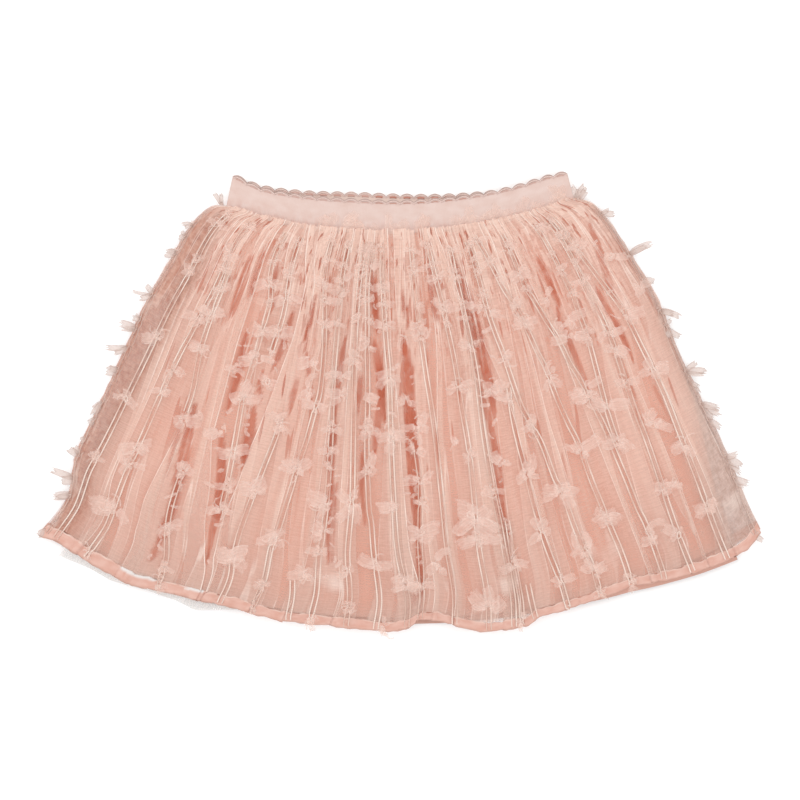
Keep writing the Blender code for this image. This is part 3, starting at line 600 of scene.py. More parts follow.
# How far a strip's angle may turn from its form's, in degrees either way.
STRIP_TURN = 30
STRIP_POINTS = 7
# The share of knots that show a loop, and of strips that are left out.
RING_SHARE = 0.03
MISSING_SHARE = 0.18
# Small bows crowd together where the gathers close up, under the waistband.
CROWD_DOWNS = (0.045, 0.085, 0.13, 0.18, 0.235)
CROWD_KINDS = ("bar", "tuft", "leaf", "bar", "tuft")
CROWD_SIZE = 0.58
CROWD_GAP = 0.03

# The stripes on the turn of the two sides, and the strips of their bows, which stand out past it.
SIDE_ACROSS = 0.985
SIDE_STRIPS = {
    # side: its bows as (down, strips), each strip an angle in degrees, a length and a breadth
    "left": [
        (0.022, [(112, 11, 3.5), (96, 9, 3)]), (0.117, [(165, 9, 3.2), (190, 7, 2.8)]),
        (0.151, [(200, 6, 4.5), (150, 5, 3)]), (0.203, [(180, 9, 7), (170, 7, 5)]),
        (0.33, [(120, 9, 4.5), (178, 16, 2.6), (202, 10, 4.5)]), (0.402, [(170, 7, 4.5), (140, 6, 3)]),
        (0.43, [(158, 14, 6.5), (175, 11, 4.5)]), (0.48, [(186, 18, 4.5), (204, 12, 4.5)]),
        (0.547, [(180, 10, 7.5), (172, 8, 5)]), (0.635, [(217, 14, 5.5), (202, 10, 4.5)]),
        (0.684, [(215, 8, 5.5)]), (0.745, [(205, 6, 5.5)]), (0.795, [(160, 10, 5.5), (122, 8, 4.5)]),
        (0.86, [(160, 19, 5.5), (195, 11, 7)]), (0.903, [(178, 14, 6.8), (186, 12, 4)]),
        (0.985, [(195, 9, 6)]),
    ],
    "right": [
        (0.018, [(70, 12, 6), (108, 11, 5.5), (38, 10, 5.5), (85, 8, 5)]),
        (0.088, [(5, 11, 5), (14, 8, 3.5)]), (0.219, [(38, 20, 5.8), (30, 16, 4)]), (0.294, [(5, 8, 5)]),
        (0.38, [(-8, 16, 5), (-18, 12, 4.5)]), (0.426, [(60, 7, 3.5), (-45, 13, 4.8), (-70, 10, 4.5)]),
        (0.55, [(12, 17, 5.4), (40, 12, 4.5), (-10, 15, 3.4)]), (0.572, [(-45, 13, 4.8), (-30, 9, 4)]),
        (0.634, [(-25, 18, 5.6), (-8, 15, 5.4), (-52, 15, 4.8)]), (0.679, [(-50, 12, 5), (-20, 12, 5)]),
        (0.784, [(-18, 15, 6.8), (-45, 17, 3.6), (5, 11, 4.8)]), (0.838, [(-25, 14, 5.8), (-50, 12, 4)]),
        (0.992, [(-35, 7, 4.5)]),
    ],
}

# The share of an sRGB colour that shows as that colour under the scene's light.
LIGHT_SHARE = 1 / 1.34
GLOW = 0.12

# The picture is this wide at the height of the skirt's top, and centred over this place, in metres.
PICTURE_WIDTH = 0.6
SKIRT_TOP = 0.008
CAMERA_PLACE = (-0.00075, 0.00225)
CAMERA_LENS = 85
CAMERA_SENSOR = 36


# ---------------------------------------------------------------- places on the panels


def read(table, at, column=1):
    """A table's column at each of these places, on a smooth curve through its rows."""
    keys, values = table[:, 0], table[:, column]
    at = np.clip(np.asarray(at, float), keys[0], keys[-1])
    i = np.clip(np.searchsorted(keys, at, side="right") - 1, 0, len(keys) - 2)
    span = keys[i + 1] - keys[i]
    t = (at - keys[i]) / span

    def slope(k):
        low, high = np.maximum(k - 1, 0), np.minimum(k + 1, len(keys) - 1)
        return (values[high] - values[low]) / (keys[high] - keys[low]) * span

    turn = t * t * (3 - 2 * t)
    bend = slope(i) * t * (1 - t) ** 2 - slope(i + 1) * t * t * (1 - t)
    return values[i] + (values[i + 1] - values[i]) * turn + bend


def plan(across, down, hem=None):
    """(x, y) on the floor of places on a panel."""
    across, down = np.broadcast_arrays(np.asarray(across, float), np.asarray(down, float))
    left_x, left_y, right_x, right_y, sag = (read(SECTIONS, down, k) for k in range(1, 6))
    t = (across + 1) / 2
    x = left_x + (right_x - left_x) * t
    y = left_y + (right_y - left_y) * t
    y = y - sag * (1 - np.abs(across) ** ARC_POWER)
    if hem is not None:
        y = y - np.interp(across, hem[:, 0], hem[:, 1]) * down**4
    return x, y


def front_plan(across, down):
    """(x, y) on the floor of places on the front panel."""
    return plan(across, down, TULLE_HEM)


def fade(down, end):
    """1 at the start of a panel or band, and 0 from this line on."""
    return np.clip(1 - down / end, 0, 1)


def half_width(down):
    """Half of the skirt's width at these lines, in millimetres."""
    return (read(SECTIONS, down, 3) - read(SECTIONS, down, 1)) / 2


def lane_of(across, down):
    """Where the cloth's straight folds lie, in millimetres, which don't follow the flare at the hem."""
    straight = LANE_HALF_WIDTH + LANE_FLARE * (down - 0.5)
    return across * LANE_WIDTH * np.where(down < 0.5, 1.0, half_width(down) / straight)


def stack_height(across, down):
    """How high the layers under the front panel are, which falls to the back panel at the sides."""
    share = read(LINING_SPAN, down, 1)
    edge = np.clip((1 - np.abs(across)) / (1 - share), 0, 1)
    return EDGE_HEIGHT + (STACK_HEIGHT - EDGE_HEIGHT) * np.sin(edge * np.pi / 2)


def swell(across, down):
    """How high the front panel's broad swells lift it over the lining, along one line of it."""
    bottoms = np.array([np.interp(down, SWELL_DOWNS, row[:3]) for row in SWELLS])
    i = np.clip(np.searchsorted(bottoms, across, side="right") - 1, 0, len(bottoms) - 2)
    s = np.clip((across - bottoms[i]) / (bottoms[i + 1] - bottoms[i]), 0, 1)
    depth = SWELLS[i, 3] * (1 - s) + SWELLS[i + 1, 3] * s
    share = 1 - depth * (0.5 + 0.5 * np.cos(2 * np.pi * s))
    return read(LOFT, down) * LOFT_SHARE * (1 - SIDE_TAPER * np.abs(across) ** 4) * share


def run(path):
    """The length along a path up to each of its points."""
    steps = np.linalg.norm(np.diff(path, axis=0), axis=1)
    return np.concatenate([[0], np.cumsum(steps)])


def valley_line(places):
    """A valley's points on the floor, and the length along it up to each of them."""
    line = np.array([front_plan(*place) for place in places])
    return line, run(line)


def valley_share(x, y):
    """How much each point belongs to a deep valley, from 0 to 1. A valley narrows towards its ends."""
    share = np.zeros(np.shape(x))
    for width, strength, places in VALLEYS:
        line, starts = valley_line(places)
        for (ax, ay), (bx, by), start, length in zip(line, line[1:], starts, np.diff(starts)):
            t = np.clip(((x - ax) * (bx - ax) + (y - ay) * (by - ay)) / length**2, 0, 1)
            distance = np.hypot(x - ax - t * (bx - ax), y - ay - t * (by - ay))
            narrow = np.sin(np.pi * ((start + t * length) / starts[-1]) ** 0.8) ** 0.6 * 0.85 + 0.05
            share = np.maximum(share, strength * np.clip(4 - 3.6 * distance / (width * narrow), 0, 1))
    return share


# ---------------------------------------------------------------- meshes


def new_object(name, points, faces, material, uvs, attributes, crease=32):
    """An object of these points, in millimetres, that rides on the skirt's body."""
    mesh = bpy.data.meshes.new(name)
    mesh.from_pydata((np.reshape(points, (-1, 3)) * MM).tolist(), [], np.asarray(faces).tolist())
    layer = mesh.uv_layers.new(name="UVMap")
    used = np.empty(len(mesh.loops), np.int32)
    mesh.loops.foreach_get("vertex_index", used)
    layer.data.foreach_set("uv", np.asarray(uvs, np.float32).reshape(-1, 2)[used].ravel())
    for key, values in attributes.items():
        attribute = mesh.attributes.new(key, "FLOAT", "POINT")
        attribute.data.foreach_set("value", np.asarray(values, np.float32).ravel())
    mesh.shade_smooth()
    mesh.set_sharp_from_angle(angle=math.radians(crease))
    mesh.materials.append(material)
    obj = bpy.data.objects.new(name, mesh)
    bpy.context.scene.collection.objects.link(obj)
    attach(obj, "root")
    return obj


def dress(obj, node=None, shadow=True):
    """Hides the CAD part that a piece stands for, if it has one. Sheer layers cast no shadow."""
    if node:
        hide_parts(node)
    obj.visible_shadow = shadow


def thicken(obj, thickness):
    """Gives a sheet a wall of so many millimetres, under it."""
    wall = obj.modifiers.new("Wall", "SOLIDIFY")
    wall.thickness = thickness * MM
    wall.offset = -1


def grid_faces(rows, columns, start=0):
    """The faces of a grid of points, the first of them numbered start."""
    index = start + np.arange(rows * columns).reshape(rows, columns)
    return np.stack([index[1:, :-1], index[1:, 1:], index[:-1, 1:], index[:-1, :-1]], -1).reshape(-1, 4)


class Gatherer:
    """Collects small meshes into one object."""

    def __init__(self):
        self.points, self.faces, self.uvs, self.shades, self.count = [], [], [], [], 0

    def add(self, points, faces, uvs, shade=0.0):
        points = np.asarray(points, float).reshape(-1, 3)
        self.points.append(points)
        self.faces.append(faces + self.count)
        self.uvs.append(np.reshape(uvs, (-1, 2)))
        self.shades.append(np.full(len(points), shade))
        self.count += len(points)

    def build(self, name, material, slot, node=None, shadow=True):
        points, faces, uvs, shades = map(np.concatenate, (self.points, self.faces, self.uvs, self.shades))
        obj = new_object(name, points, faces, material, uvs, {"shade": shades}, crease=75)
        dress(obj, node, shadow)


def tube(path, radius, sides):
    """Points, faces and UVs of a tube round a path, in millimetres."""
    path = np.asarray(path, float)
    tangent = np.gradient(path, axis=0)
    tangent /= np.linalg.norm(tangent, axis=1)[:, None] + 1e-9
    side = np.cross(tangent, (0, 0, 1))
    side /= np.linalg.norm(side, axis=1)[:, None] + 1e-9
    up = np.cross(side, tangent)
    radius = np.broadcast_to(radius, len(path))[:, None, None]
    angle = np.linspace(0, 2 * np.pi, sides + 1)[None, :, None]
    ring = side[:, None] * np.cos(angle) + up[:, None] * np.sin(angle)
    uvs = np.stack(np.meshgrid(np.linspace(0, 1, sides + 1), run(path)), -1)
    return path[:, None] + ring * radius, grid_faces(len(path), sides + 1), uvs


# ---------------------------------------------------------------- materials


def lit(r, g, b, share=LIGHT_SHARE):
    """The base colour that shows as this sRGB colour. Sheer cloth has a share of its own."""

    def linear(c):
        c /= 255
        return c / 12.92 if c <= 0.04045 else ((c + 0.055) / 1.055) ** 2.4

    return (linear(r) * share, linear(g) * share, linear(b) * share, 1.0)


class Signal:
    """A number, colour or place that a node gives over the surface. Arithmetic on it adds nodes."""

    def __init__(self, shader, socket):
        self.shader, self.socket = shader, socket

    def __add__(self, other):
        return self.shader.math("ADD", self, other)

    def __sub__(self, other):
        return self.shader.math("SUBTRACT", self, other)

    def __mul__(self, other):
        return self.shader.math("MULTIPLY", self, other)

    def __abs__(self):
        return self.shader.math("ABSOLUTE", self)

    def max(self, other):
        return self.shader.math("MAXIMUM", self, other)

    def min(self, other):
        return self.shader.math("MINIMUM", self, other)

    def map(self, low, high, out_low=0.0, out_high=1.0):
        """Maps the range from low to high onto another one, and holds its ends."""
        ranges = {"From Min": low, "From Max": high, "To Min": out_low, "To Max": out_high}
        return self.shader.node("MapRange", {"Value": self, **ranges})

    def near(self, value, inner, outer):
        """1 within inner of a value, and 0 past outer."""
        return abs(self - value).map(inner, outer, 1.0, 0.0)


class Shader:
    """Builds a material's nodes, from left to right."""

    def __init__(self, name, roughness):
        self.material = bpy.data.materials.new(name)
        self.material.use_nodes = True
        self.nodes = self.material.node_tree.nodes
        self.bsdf = self.nodes["Principled BSDF"]
        self.set("Roughness", roughness)
        self.set("Specular IOR Level", 0.2)

    def put(self, socket, value):
        if isinstance(value, Signal):
            self.material.node_tree.links.new(value.socket, socket)
        else:
            socket.default_value = value

    def set(self, name, value):
        self.put(self.bsdf.inputs[name], value)

    def node(self, kind, inputs, output=0, **settings):
        """Adds a node with these settings and inputs, and gives one of its outputs."""
        node = self.nodes.new("ShaderNode" + kind)
        for key, value in settings.items():
            setattr(node, key, value)
        for key, value in inputs.items():
            self.put(node.inputs[key], value)
        return Signal(self, node.outputs[output])

    def math(self, operation, *values):
        return self.node("Math", dict(enumerate(values)), operation=operation)

    def mix(self, factor, a, b):
        return self.node("Mix", {"Factor": factor, "A": a, "B": b}, "Result", data_type="RGBA")

    def attribute(self, name):
        return self.node("Attribute", {}, "Fac", attribute_name=name)

    def uv(self):
        return self.node("UVMap", {})

    def place(self):
        return self.node("TexCoord", {}, "Object")

    def split(self, vector):
        """A vector's three numbers."""
        split = self.node("SeparateXYZ", {0: vector}).socket.node
        return [Signal(self, socket) for socket in split.outputs]

    def join(self, x, y):
        return self.node("CombineXYZ", {"X": x, "Y": y})

    def noise(self, vector, scale, detail=2.0, roughness=0.5, shift=(0, 0, 0)):
        """Noise about 0.5. A scale of three numbers stretches it, and then a shift moves it."""
        if isinstance(scale, tuple):
            vector = self.node("Mapping", {"Vector": vector, "Location": shift, "Scale": scale})
            scale = 1.0
        look = {"Scale": scale, "Detail": detail, "Roughness": roughness}
        return self.node("TexNoise", {"Vector": vector, **look}, "Fac")

    def lines(self, value, pitch, width):
        """1 on evenly spaced lines and 0 between them."""
        return self.math("FRACT", value * (1 / pitch)).near(0.5, width / pitch / 2, width / pitch)

    def let_through(self, colour, cover):
        """Makes the cloth glow with light from behind, and lets what is behind it show."""
        self.set("Base Color", colour)
        glowing = self.node("BsdfTranslucent", {"Color": colour})
        cloth = self.node("MixShader", {0: GLOW, 1: Signal(self, self.bsdf.outputs[0]), 2: glowing})
        net = self.node("MixShader", {0: cover, 1: self.node("BsdfTransparent", {}), 2: cloth})
        self.put(self.nodes["Material Output"].inputs["Surface"], net)

    def bump(self, height, strength, distance=0.0004):
        relief = {"Height": height, "Strength": strength, "Distance": distance}
        self.set("Normal", self.node("Bump", relief))


def make_tulle():
    """Sheer net: its UVs are millimetres along the cloth and down it."""
    shader = Shader("tulle", 0.85)
    uv = shader.uv()
    v = shader.split(uv)[1]
    lane = shader.join(shader.attribute("lane"), v)
    weft = shader.noise(uv, (0.09, 1.1, 1))
    fuzz = shader.noise(uv, (1.1, 0.8, 1), roughness=0.7)
    streak = shader.noise(uv, (0.35, 0.010, 1), 3, 0.6)
    broad = shader.noise(uv, (0.07, 0.012, 1))
    cover = weft.map(0.42, 0.58, -1, 1) * 0.04 + 0.48 + fuzz.map(0.3, 0.7, -0.05, 0.05)
    # The cloth's looser folds: paler to one side of a line, which catches the light itself.
    wide = shader.noise(lane, (0.065, 0.0016, 1), 0, shift=(3.1, 0.4, 0))
    narrow = shader.noise(lane, (0.13, 0.0030, 1), 0, shift=(8.7, 5.2, 0))
    cover += wide.map(0.494, 0.506, -0.07, 0.08)
    cover += narrow.map(0.494, 0.506, -0.07, 0.08)
    lines = wide.near(0.5, 0.004, 0.012).max(narrow.near(0.5, 0.004, 0.012))
    # Fine creases, which fade down the panel: a painted highlight on one side of each, and painted shade in
    # the hollows.
    crease = shader.noise(lane, (0.95, 0.016, 1), 2, 0.6, shift=(1.7, 2.9, 0))
    fading = v.map(35, 120, 0.75, 0.1)
    bright = crease.map(0.60, 0.66) * fading
    hollow_shade = crease.map(0.34, 0.40, 1, 0) * fading
    cover += streak.map(0.35, 0.65, -0.07, 0.08) * v.map(30, 130, 0.9, 0.25)
    cover += broad.map(0.35, 0.65, -0.06, 0.06)
    # Under the waistband the crowded folds close up in pads, with short and long slits between them.
    near_waist = v.map(25, 130, 1, 0)
    pads = shader.noise(uv, (0.26, 0.085, 1), 2, 0.55).map(0.50, 0.56, 0, 0.24)
    cover = (cover + pads * near_waist).map(0, 1)
    short_slits = shader.noise(lane, (0.40, 0.060, 1)).map(0.36, 0.40, 1, 0) * near_waist
    long_slits = shader.noise(lane, (0.26, 0.017, 1), 1, shift=(5.5, 1.5, 0)).map(0.315, 0.345, 0.85, 0)
    reach = v.map(20, 60) * v.map(150, 230, 1, 0)
    slit = short_slits.max(hollow_shade * 0.55).max(long_slits * reach)
    cover *= slit.map(0, 1, 1, 0.75)
    cover *= shader.attribute("thickness")
    # Between the valleys' deep places, strands and tufts of the tulle lie across them.
    strands = shader.noise(lane, (0.50, 0.011, 1), 2, 0.6, shift=(4.2, 7.7, 0)).map(0.38, 0.52, 0.45, 1)
    tufts = shader.noise(shader.place(), 120, 2, 0.6).map(0.34, 0.52, 0.5, 1)
    depth = shader.attribute("valley") * (strands * tufts)
    cover *= depth.map(0, 1, 1, 0.2)
    # Painted highlight: free edges, fold lines and the creases' bright sides are painted pale cream, broken
    # up by noise, and they are denser too.
    highlight_breaks = shader.noise(lane, (0.05, 0.03, 1))
    edge = shader.attribute("edge").map(0.45, 0.95, 1, 0) * highlight_breaks.map(0.35, 0.6, 0.25, 1)
    edge = edge.max(lines * highlight_breaks.map(0.4, 0.65, 0, 0.6)).max(bright * 0.6)
    cover = (cover + edge * 0.35).min(0.97)
    tint = shader.mix(streak.map(0.3, 0.7, 0.15, 0.85), lit(255, 216, 199, 0.75), lit(255, 226, 211, 0.76))
    # Painted shade: the slits, the creases' hollows and the valleys' deep places take a deep coral, as of
    # the shaded lining under them.
    tint = shader.mix((slit * 0.75).max(depth * 0.75), tint, lit(206, 112, 84))
    tint = shader.mix(v.map(205, 290, 0, 0.45), tint, lit(220, 186, 173))
    # Past the lining's sides the tulle is in shadow, greyer towards the lower right.
    x = shader.split(shader.place())[0]
    turned = x.map(-0.1, 0.1) * v.map(90, 200)
    dark = shader.mix(turned, lit(204, 146, 127), lit(210, 176, 162))
    light = shader.mix(turned, lit(230, 183, 164), lit(234, 204, 192))
    mottle = shader.noise(uv, (0.32, 0.20, 1), 3, 0.65)
    tint = shader.mix(shader.attribute("unlined"), tint, shader.mix(mottle.map(0.36, 0.64), dark, light))
    # The painted highlight on edges, fold lines and creases.
    tint = shader.mix(edge, tint, lit(255, 239, 229, 0.83))
    shader.let_through(tint, cover)
    return shader.material


def make_lining(name, pale, warm, deep):
    """The lining, with painted shade: a deep coral where the tulle sinks onto it in a valley, and greyer
    along its rim.
    """
    shader = Shader(name, 0.62)
    place = shader.place()
    cloud = shader.noise(place, (14, 4, 1), 3)
    weave = shader.noise(place, (1800, 900, 1), 1)
    blotch = shader.noise(place, (70, 35, 1), 2, 0.6)
    colour = shader.mix(cloud.map(0.3, 0.7), pale, warm)
    # Painted shade: deep coral in the valleys, greyer along the rim.
    colour = shader.mix(shader.attribute("valley") * blotch.map(0.38, 0.6, 0.5, 1), colour, deep)
    shader.set("Base Color", shader.mix(shader.attribute("rim"), colour, lit(222, 176, 160)))
    shader.bump(cloud + weave * 0.15, 0.25, 0.001)
    return shader.material


def make_hem():
    """The hems' strips: a painted highlight as a pale broken line along their sewn top edge, and the net
    where the strip stands off.
    """
    shader = Shader("hem", 0.75)
    uv = shader.uv()
    u, v, _ = shader.split(uv)
    cloud = shader.noise(uv, (0.12, 0.3, 1), 3)
    broken = shader.noise(uv, (0.09, 0, 1))
    colour = shader.mix(cloud.map(0.35, 0.65), lit(240, 195, 180), lit(230, 177, 160))
    # Painted highlight: a pale broken line along the top edge.
    seam_highlight = v.map(0.5, 1, 1, 0) * broken.map(0.4, 0.6, 0.2, 0.9)
    colour = shader.mix(seam_highlight, colour, lit(250, 222, 209))
    colour = shader.mix(v.map(5.9, 7, 0, 0.4), colour, lit(216, 168, 151))
    shader.set("Base Color", shader.mix(shader.attribute("gap"), colour, lit(246, 238, 234)))
    shader.bump(shader.lines(u, 0.8, 0.3), 0.2)
    return shader.material


def make_net():
    """The petticoat's net, as uneven cover: its mesh is too fine to show."""
    shader = Shader("net", 0.85)
    place = shader.place()
    patch = shader.noise(place, (90, 140, 1), 3, 0.6)
    grain = shader.noise(place, 900, 1)
    shader.set("Alpha", patch.map(0.35, 0.65, 0.35, 0.70) + grain.map(0.4, 0.6, -0.1, 0.1))
    shader.set("Base Color", lit(248, 243, 239))
    return shader.material


def make_elastic(name, pale, deep):
    """Ribbed elastic, flushed in places towards its foot."""
    shader = Shader(name, 0.7)
    uv = shader.uv()
    u, v, _ = shader.split(uv)
    rib = shader.lines(u, 1.15, 0.5)
    cloud = shader.noise(uv, (0.10, 0.16, 1), 3)
    mottle = shader.noise(uv, (0.25, 0.12, 1), 3)
    flush = v.map(1, 12, 1, 0) * mottle.map(0.40, 0.60)
    colour = shader.mix(cloud.map(0.3, 0.7), pale, deep)
    colour = shader.mix(flush * 0.3, colour, lit(222, 168, 152))
    shader.set("Base Color", shader.mix(rib * 0.12, colour, lit(246, 226, 218)))
    shader.bump(rib, 0.1)
    return shader.material


def make_ribbon():
    """The bows' tulle: UV x runs along a strip and y across it, both from 0 to 1.

    Shade is 0 on a strip, 1 on one that stands out past the skirt's side and -1 on a knot.
    """
    shader = Shader("bow_tulle", 0.8)
    uv, place = shader.uv(), shader.place()
    u, v, _ = shader.split(uv)
    shade = shader.attribute("shade")
    outside, tied = shade.map(0, 1), shade.map(-1, 0, 1, 0)
    rim = (abs(v - 0.5) * 2).map(0.60, 0.95).max(u.map(0.85, 0.98))
    root = u.map(0, 0.35, 1, 0)
    pleats = shader.noise(uv, (0.5, 8, 1))
    grain = shader.noise(place, 500)
    patch = shader.noise(place, (220, 220, 0), 1)
    cover = rim * patch.map(0.4, 0.6, -0.30, 0.08) + 0.42 + root * 0.15
    cover += pleats.map(0.35, 0.65, -0.06, 0.07)
    cover = (cover + grain.map(0.3, 0.7, -0.05, 0.05)).map(0, 1)
    cover = (cover + outside * 0.32).max(tied * 0.8).min(0.95)
    colour = shader.mix(root, lit(255, 225, 212, 0.77), lit(255, 230, 219, 0.79))
    # Painted highlight on the pleats' ridges, and painted shade, a deep coral, in their hollows towards the
    # root.
    colour = shader.mix(pleats.map(0.55, 0.66, 0, 0.6), colour, lit(255, 238, 228, 0.84))
    hollow_shade = pleats.map(0.31, 0.38, 0.4, 0) * u.map(0.5, 0.9, 1, 0)
    colour = shader.mix(hollow_shade, colour, lit(216, 136, 110))
    # Knots are paler; strips with a negative shade take part of that colour, which on the thin curled ends
    # is a painted highlight.
    colour = shader.mix(tied, colour, lit(255, 233, 222, 0.81))
    dull = shader.mix(rim.max(root), lit(238, 217, 208), lit(210, 181, 169))
    shader.let_through(shader.mix(outside, colour, dull), cover)
    return shader.material


def make_thread():
    """Twisted thread, dulled in places where the tulle lies over it."""
    shader = Shader("thread", 0.6)
    u, v, _ = shader.split(shader.uv())
    twist = shader.lines(v + u * 1.4, 1.4, 0.5)
    veil = shader.noise(shader.place(), (70, 22, 70))
    colour = shader.mix(twist, lit(255, 240, 229, 0.85), lit(255, 227, 213, 0.79))
    colour = shader.mix(veil.map(0.42, 0.62), colour, lit(255, 222, 206, 0.77))
    shader.set("Base Color", shader.mix(shader.attribute("shade"), colour, lit(222, 188, 174)))
    shader.set("Alpha", veil.map(0.44, 0.64, 0.88, 0.45))
    return shader.material


def make_picot():
    """The picot edge: shade 0 is its pale loop, 0.5 its slot and 1 its outline."""
    shader = Shader("picot", 0.6)
    v = shader.split(shader.uv())[1]
    shade = shader.attribute("shade")
    colour = shader.mix(shader.lines(v, 1.2, 0.5), lit(252, 228, 219), lit(238, 205, 195))
    colour = shader.mix(shade.map(0, 0.5), colour, lit(214, 150, 132))
    shader.set("Base Color", shader.mix(shade.map(0.5, 1), colour, lit(218, 190, 181)))
    return shader.material


# ---------------------------------------------------------------- the front panel


def edge_distance(fraction, level, width, strength):
    """How far a fold's column lies from its free edge, in millimetres; more where the fold fades."""
    away = abs(1 - fraction) * width if level > 0.4 else FAR
    return away + (1 - strength)


def gather_columns(start, end, rng):
    """The columns of the small gathers between two pleats, which fade below the waistband."""
    gap = end - start
    scale = half_width(FRONT_DOWNS)
    none, far = np.zeros(len(gap)), np.full(len(gap), FAR)
    count = max(1, int(round(gap[GATHER_LINE] * scale[GATHER_LINE] / GATHER_PITCH)))
    columns = []
    for share in (np.arange(count) + 0.5 + rng.uniform(-0.28, 0.28, count)) / count:
        middle = start + gap * share
        columns.append((start + gap * (share - 0.42 / count), none, far))
        reach = rng.choice(GATHER_REACHES, p=GATHER_ODDS) * rng.uniform(0.8, 1.2)
        amount = np.clip((reach - FRONT_DOWNS) / (0.6 * reach), 0, 1)
        way = rng.choice([-1, 1])
        width = GATHER_WIDTH * rng.uniform(0.7, 1.4) / scale
        form = GATHER_FORM[::way]
        for (fraction, level), aside in zip(form, np.linspace(-0.3, 0.3, len(form)) / count):
            folded = middle + (fraction - 0.5) * way * width
            even = middle + gap * aside
            off = edge_distance(fraction, level, width * scale, amount * 0.8)
            height = level * GATHER_THICKNESS * amount
            columns.append((even + (folded - even) * amount, height, off))
    return columns


def pleat_columns(left, right, lap, amount):
    """A pleat's columns: evenly spaced and flat at amount 0, folded over at 1."""
    width = right - left
    across_mm = width * half_width(FRONT_DOWNS)
    size = np.clip(across_mm / FULL_PLEAT, 0.45, 1.0)
    hidden_edge = left if lap > 0 else right
    form = PLEAT_FORM[::lap]
    columns = []
    for (fraction, level), share in zip(form, np.linspace(0.0, 1.0, len(form))):
        flat = left + width * share
        folded = hidden_edge + fraction * width * lap
        off = edge_distance(fraction, level, across_mm, amount)
        height = level * PLEAT_THICKNESS * size * amount
        columns.append((flat + (folded - flat) * amount, height, off))
    return columns


def front_columns(rng):
    """The front panel's columns: (across, height in mm, distance from a fold's free edge)."""
    side = np.ones(len(FRONT_DOWNS))
    none, far = 0 * side, FAR * side
    columns = [(-side, none, far)]
    gathered_from, last_right = -side, -side
    for lap, top, bottom, rows in PLEATS:
        lines, left, right = np.transpose(rows)
        left = np.maximum(np.interp(FRONT_DOWNS, lines, left), last_right + PLEAT_GAP)
        right = np.maximum(np.interp(FRONT_DOWNS, lines, right), left + PLEAT_GAP)
        amount = top + (bottom - top) * FRONT_DOWNS
        if top == 0:
            amount = amount * np.clip((FRONT_DOWNS - lines[0] + PLEAT_START) / PLEAT_START, 0, 1)
        columns += gather_columns(gathered_from, left, rng)
        columns += pleat_columns(left, right, lap, amount)
        gathered_from, last_right = right + AFTER_PLEAT, right
    columns += gather_columns(gathered_from, side, rng)
    columns.append((side, none, far))
    return columns


def lay_front(across, downs, level, ruffle):
    """The front panel's points at these lines. The gathers' heads stand over the waistband's foot."""
    x, y = front_plan(across, downs)
    y = y + ruffle * fade(downs, 0.01)
    x = x + 0.5 * np.sin(downs * 83 + 3 * np.sin(downs * 31)) * np.clip(np.abs(across) * 20 - 19, 0, 1)
    z = stack_height(across, downs) + FRONT_LIFT + level + HEAD_RISE * fade(downs, 0.03)
    z = z + np.stack([swell(a, d) for a, d in zip(across, downs[:, 0])])
    return np.stack([x, y, z], -1)


def unlined_share(across, downs):
    """How much of each place on the front panel lies past the lining, in its own shadow."""
    left = np.clip((-across - read(LINING_SPAN, downs, 1) + 0.035) / 0.035, 0, 1)
    reach = np.interp(downs, [0.0, 0.3, 0.6], [0.045, 0.06, 0.03])
    right = np.clip((across - read(LINING_SPAN, downs, 2) + reach) / 0.05, 0, 1)
    right = right * np.interp(downs, [0.0, 0.1, 0.4, 0.6], [0.3, 0.6, 0.6, 1.0])
    return np.where(across < 0, left, right) ** 1.2 * np.clip(downs / 0.1, 0, 1)


def lay_front_hem(across, level, ruffle, along):
    """The points of the hem's strip, which lies doubled over the panel's lower edge, a little uneven."""
    lines = np.ones(len(HEM_DOWNS))[:, None]
    points = lay_front(across * lines, HEM_DOWNS[:, None], level * lines, ruffle)
    wobble = 0.5 * np.sin(along * 0.21 + 2 * np.sin(along * 0.043)) + 0.35 * np.sin(along * 0.67)
    points[..., 1] += wobble * np.linspace(1.2, -0.8, len(HEM_DOWNS))[:, None]
    points[1:, :, 2] += HEM_LIFT
    return points


def add_front_hem(points, across, along, material):
    """The hem's strip as a piece, with the gaps marked in which the net shows."""
    uvs = np.stack(np.meshgrid(along, (HEM_DOWNS - HEM_DOWN) * PANEL_LENGTH), -1)
    gap = np.zeros(points.shape[:2])
    for low, high in HEM_GAPS:
        gap[:2] = np.maximum(gap[:2], (across > low) & (across < high))
    faces = grid_faces(len(HEM_DOWNS), len(along))
    hem = new_object("hem_front_strip", points, faces, material, uvs, {"gap": gap})
    thicken(hem, HEM_THICKNESS)
    dress(hem, "hem_front", shadow=False)
    return hem


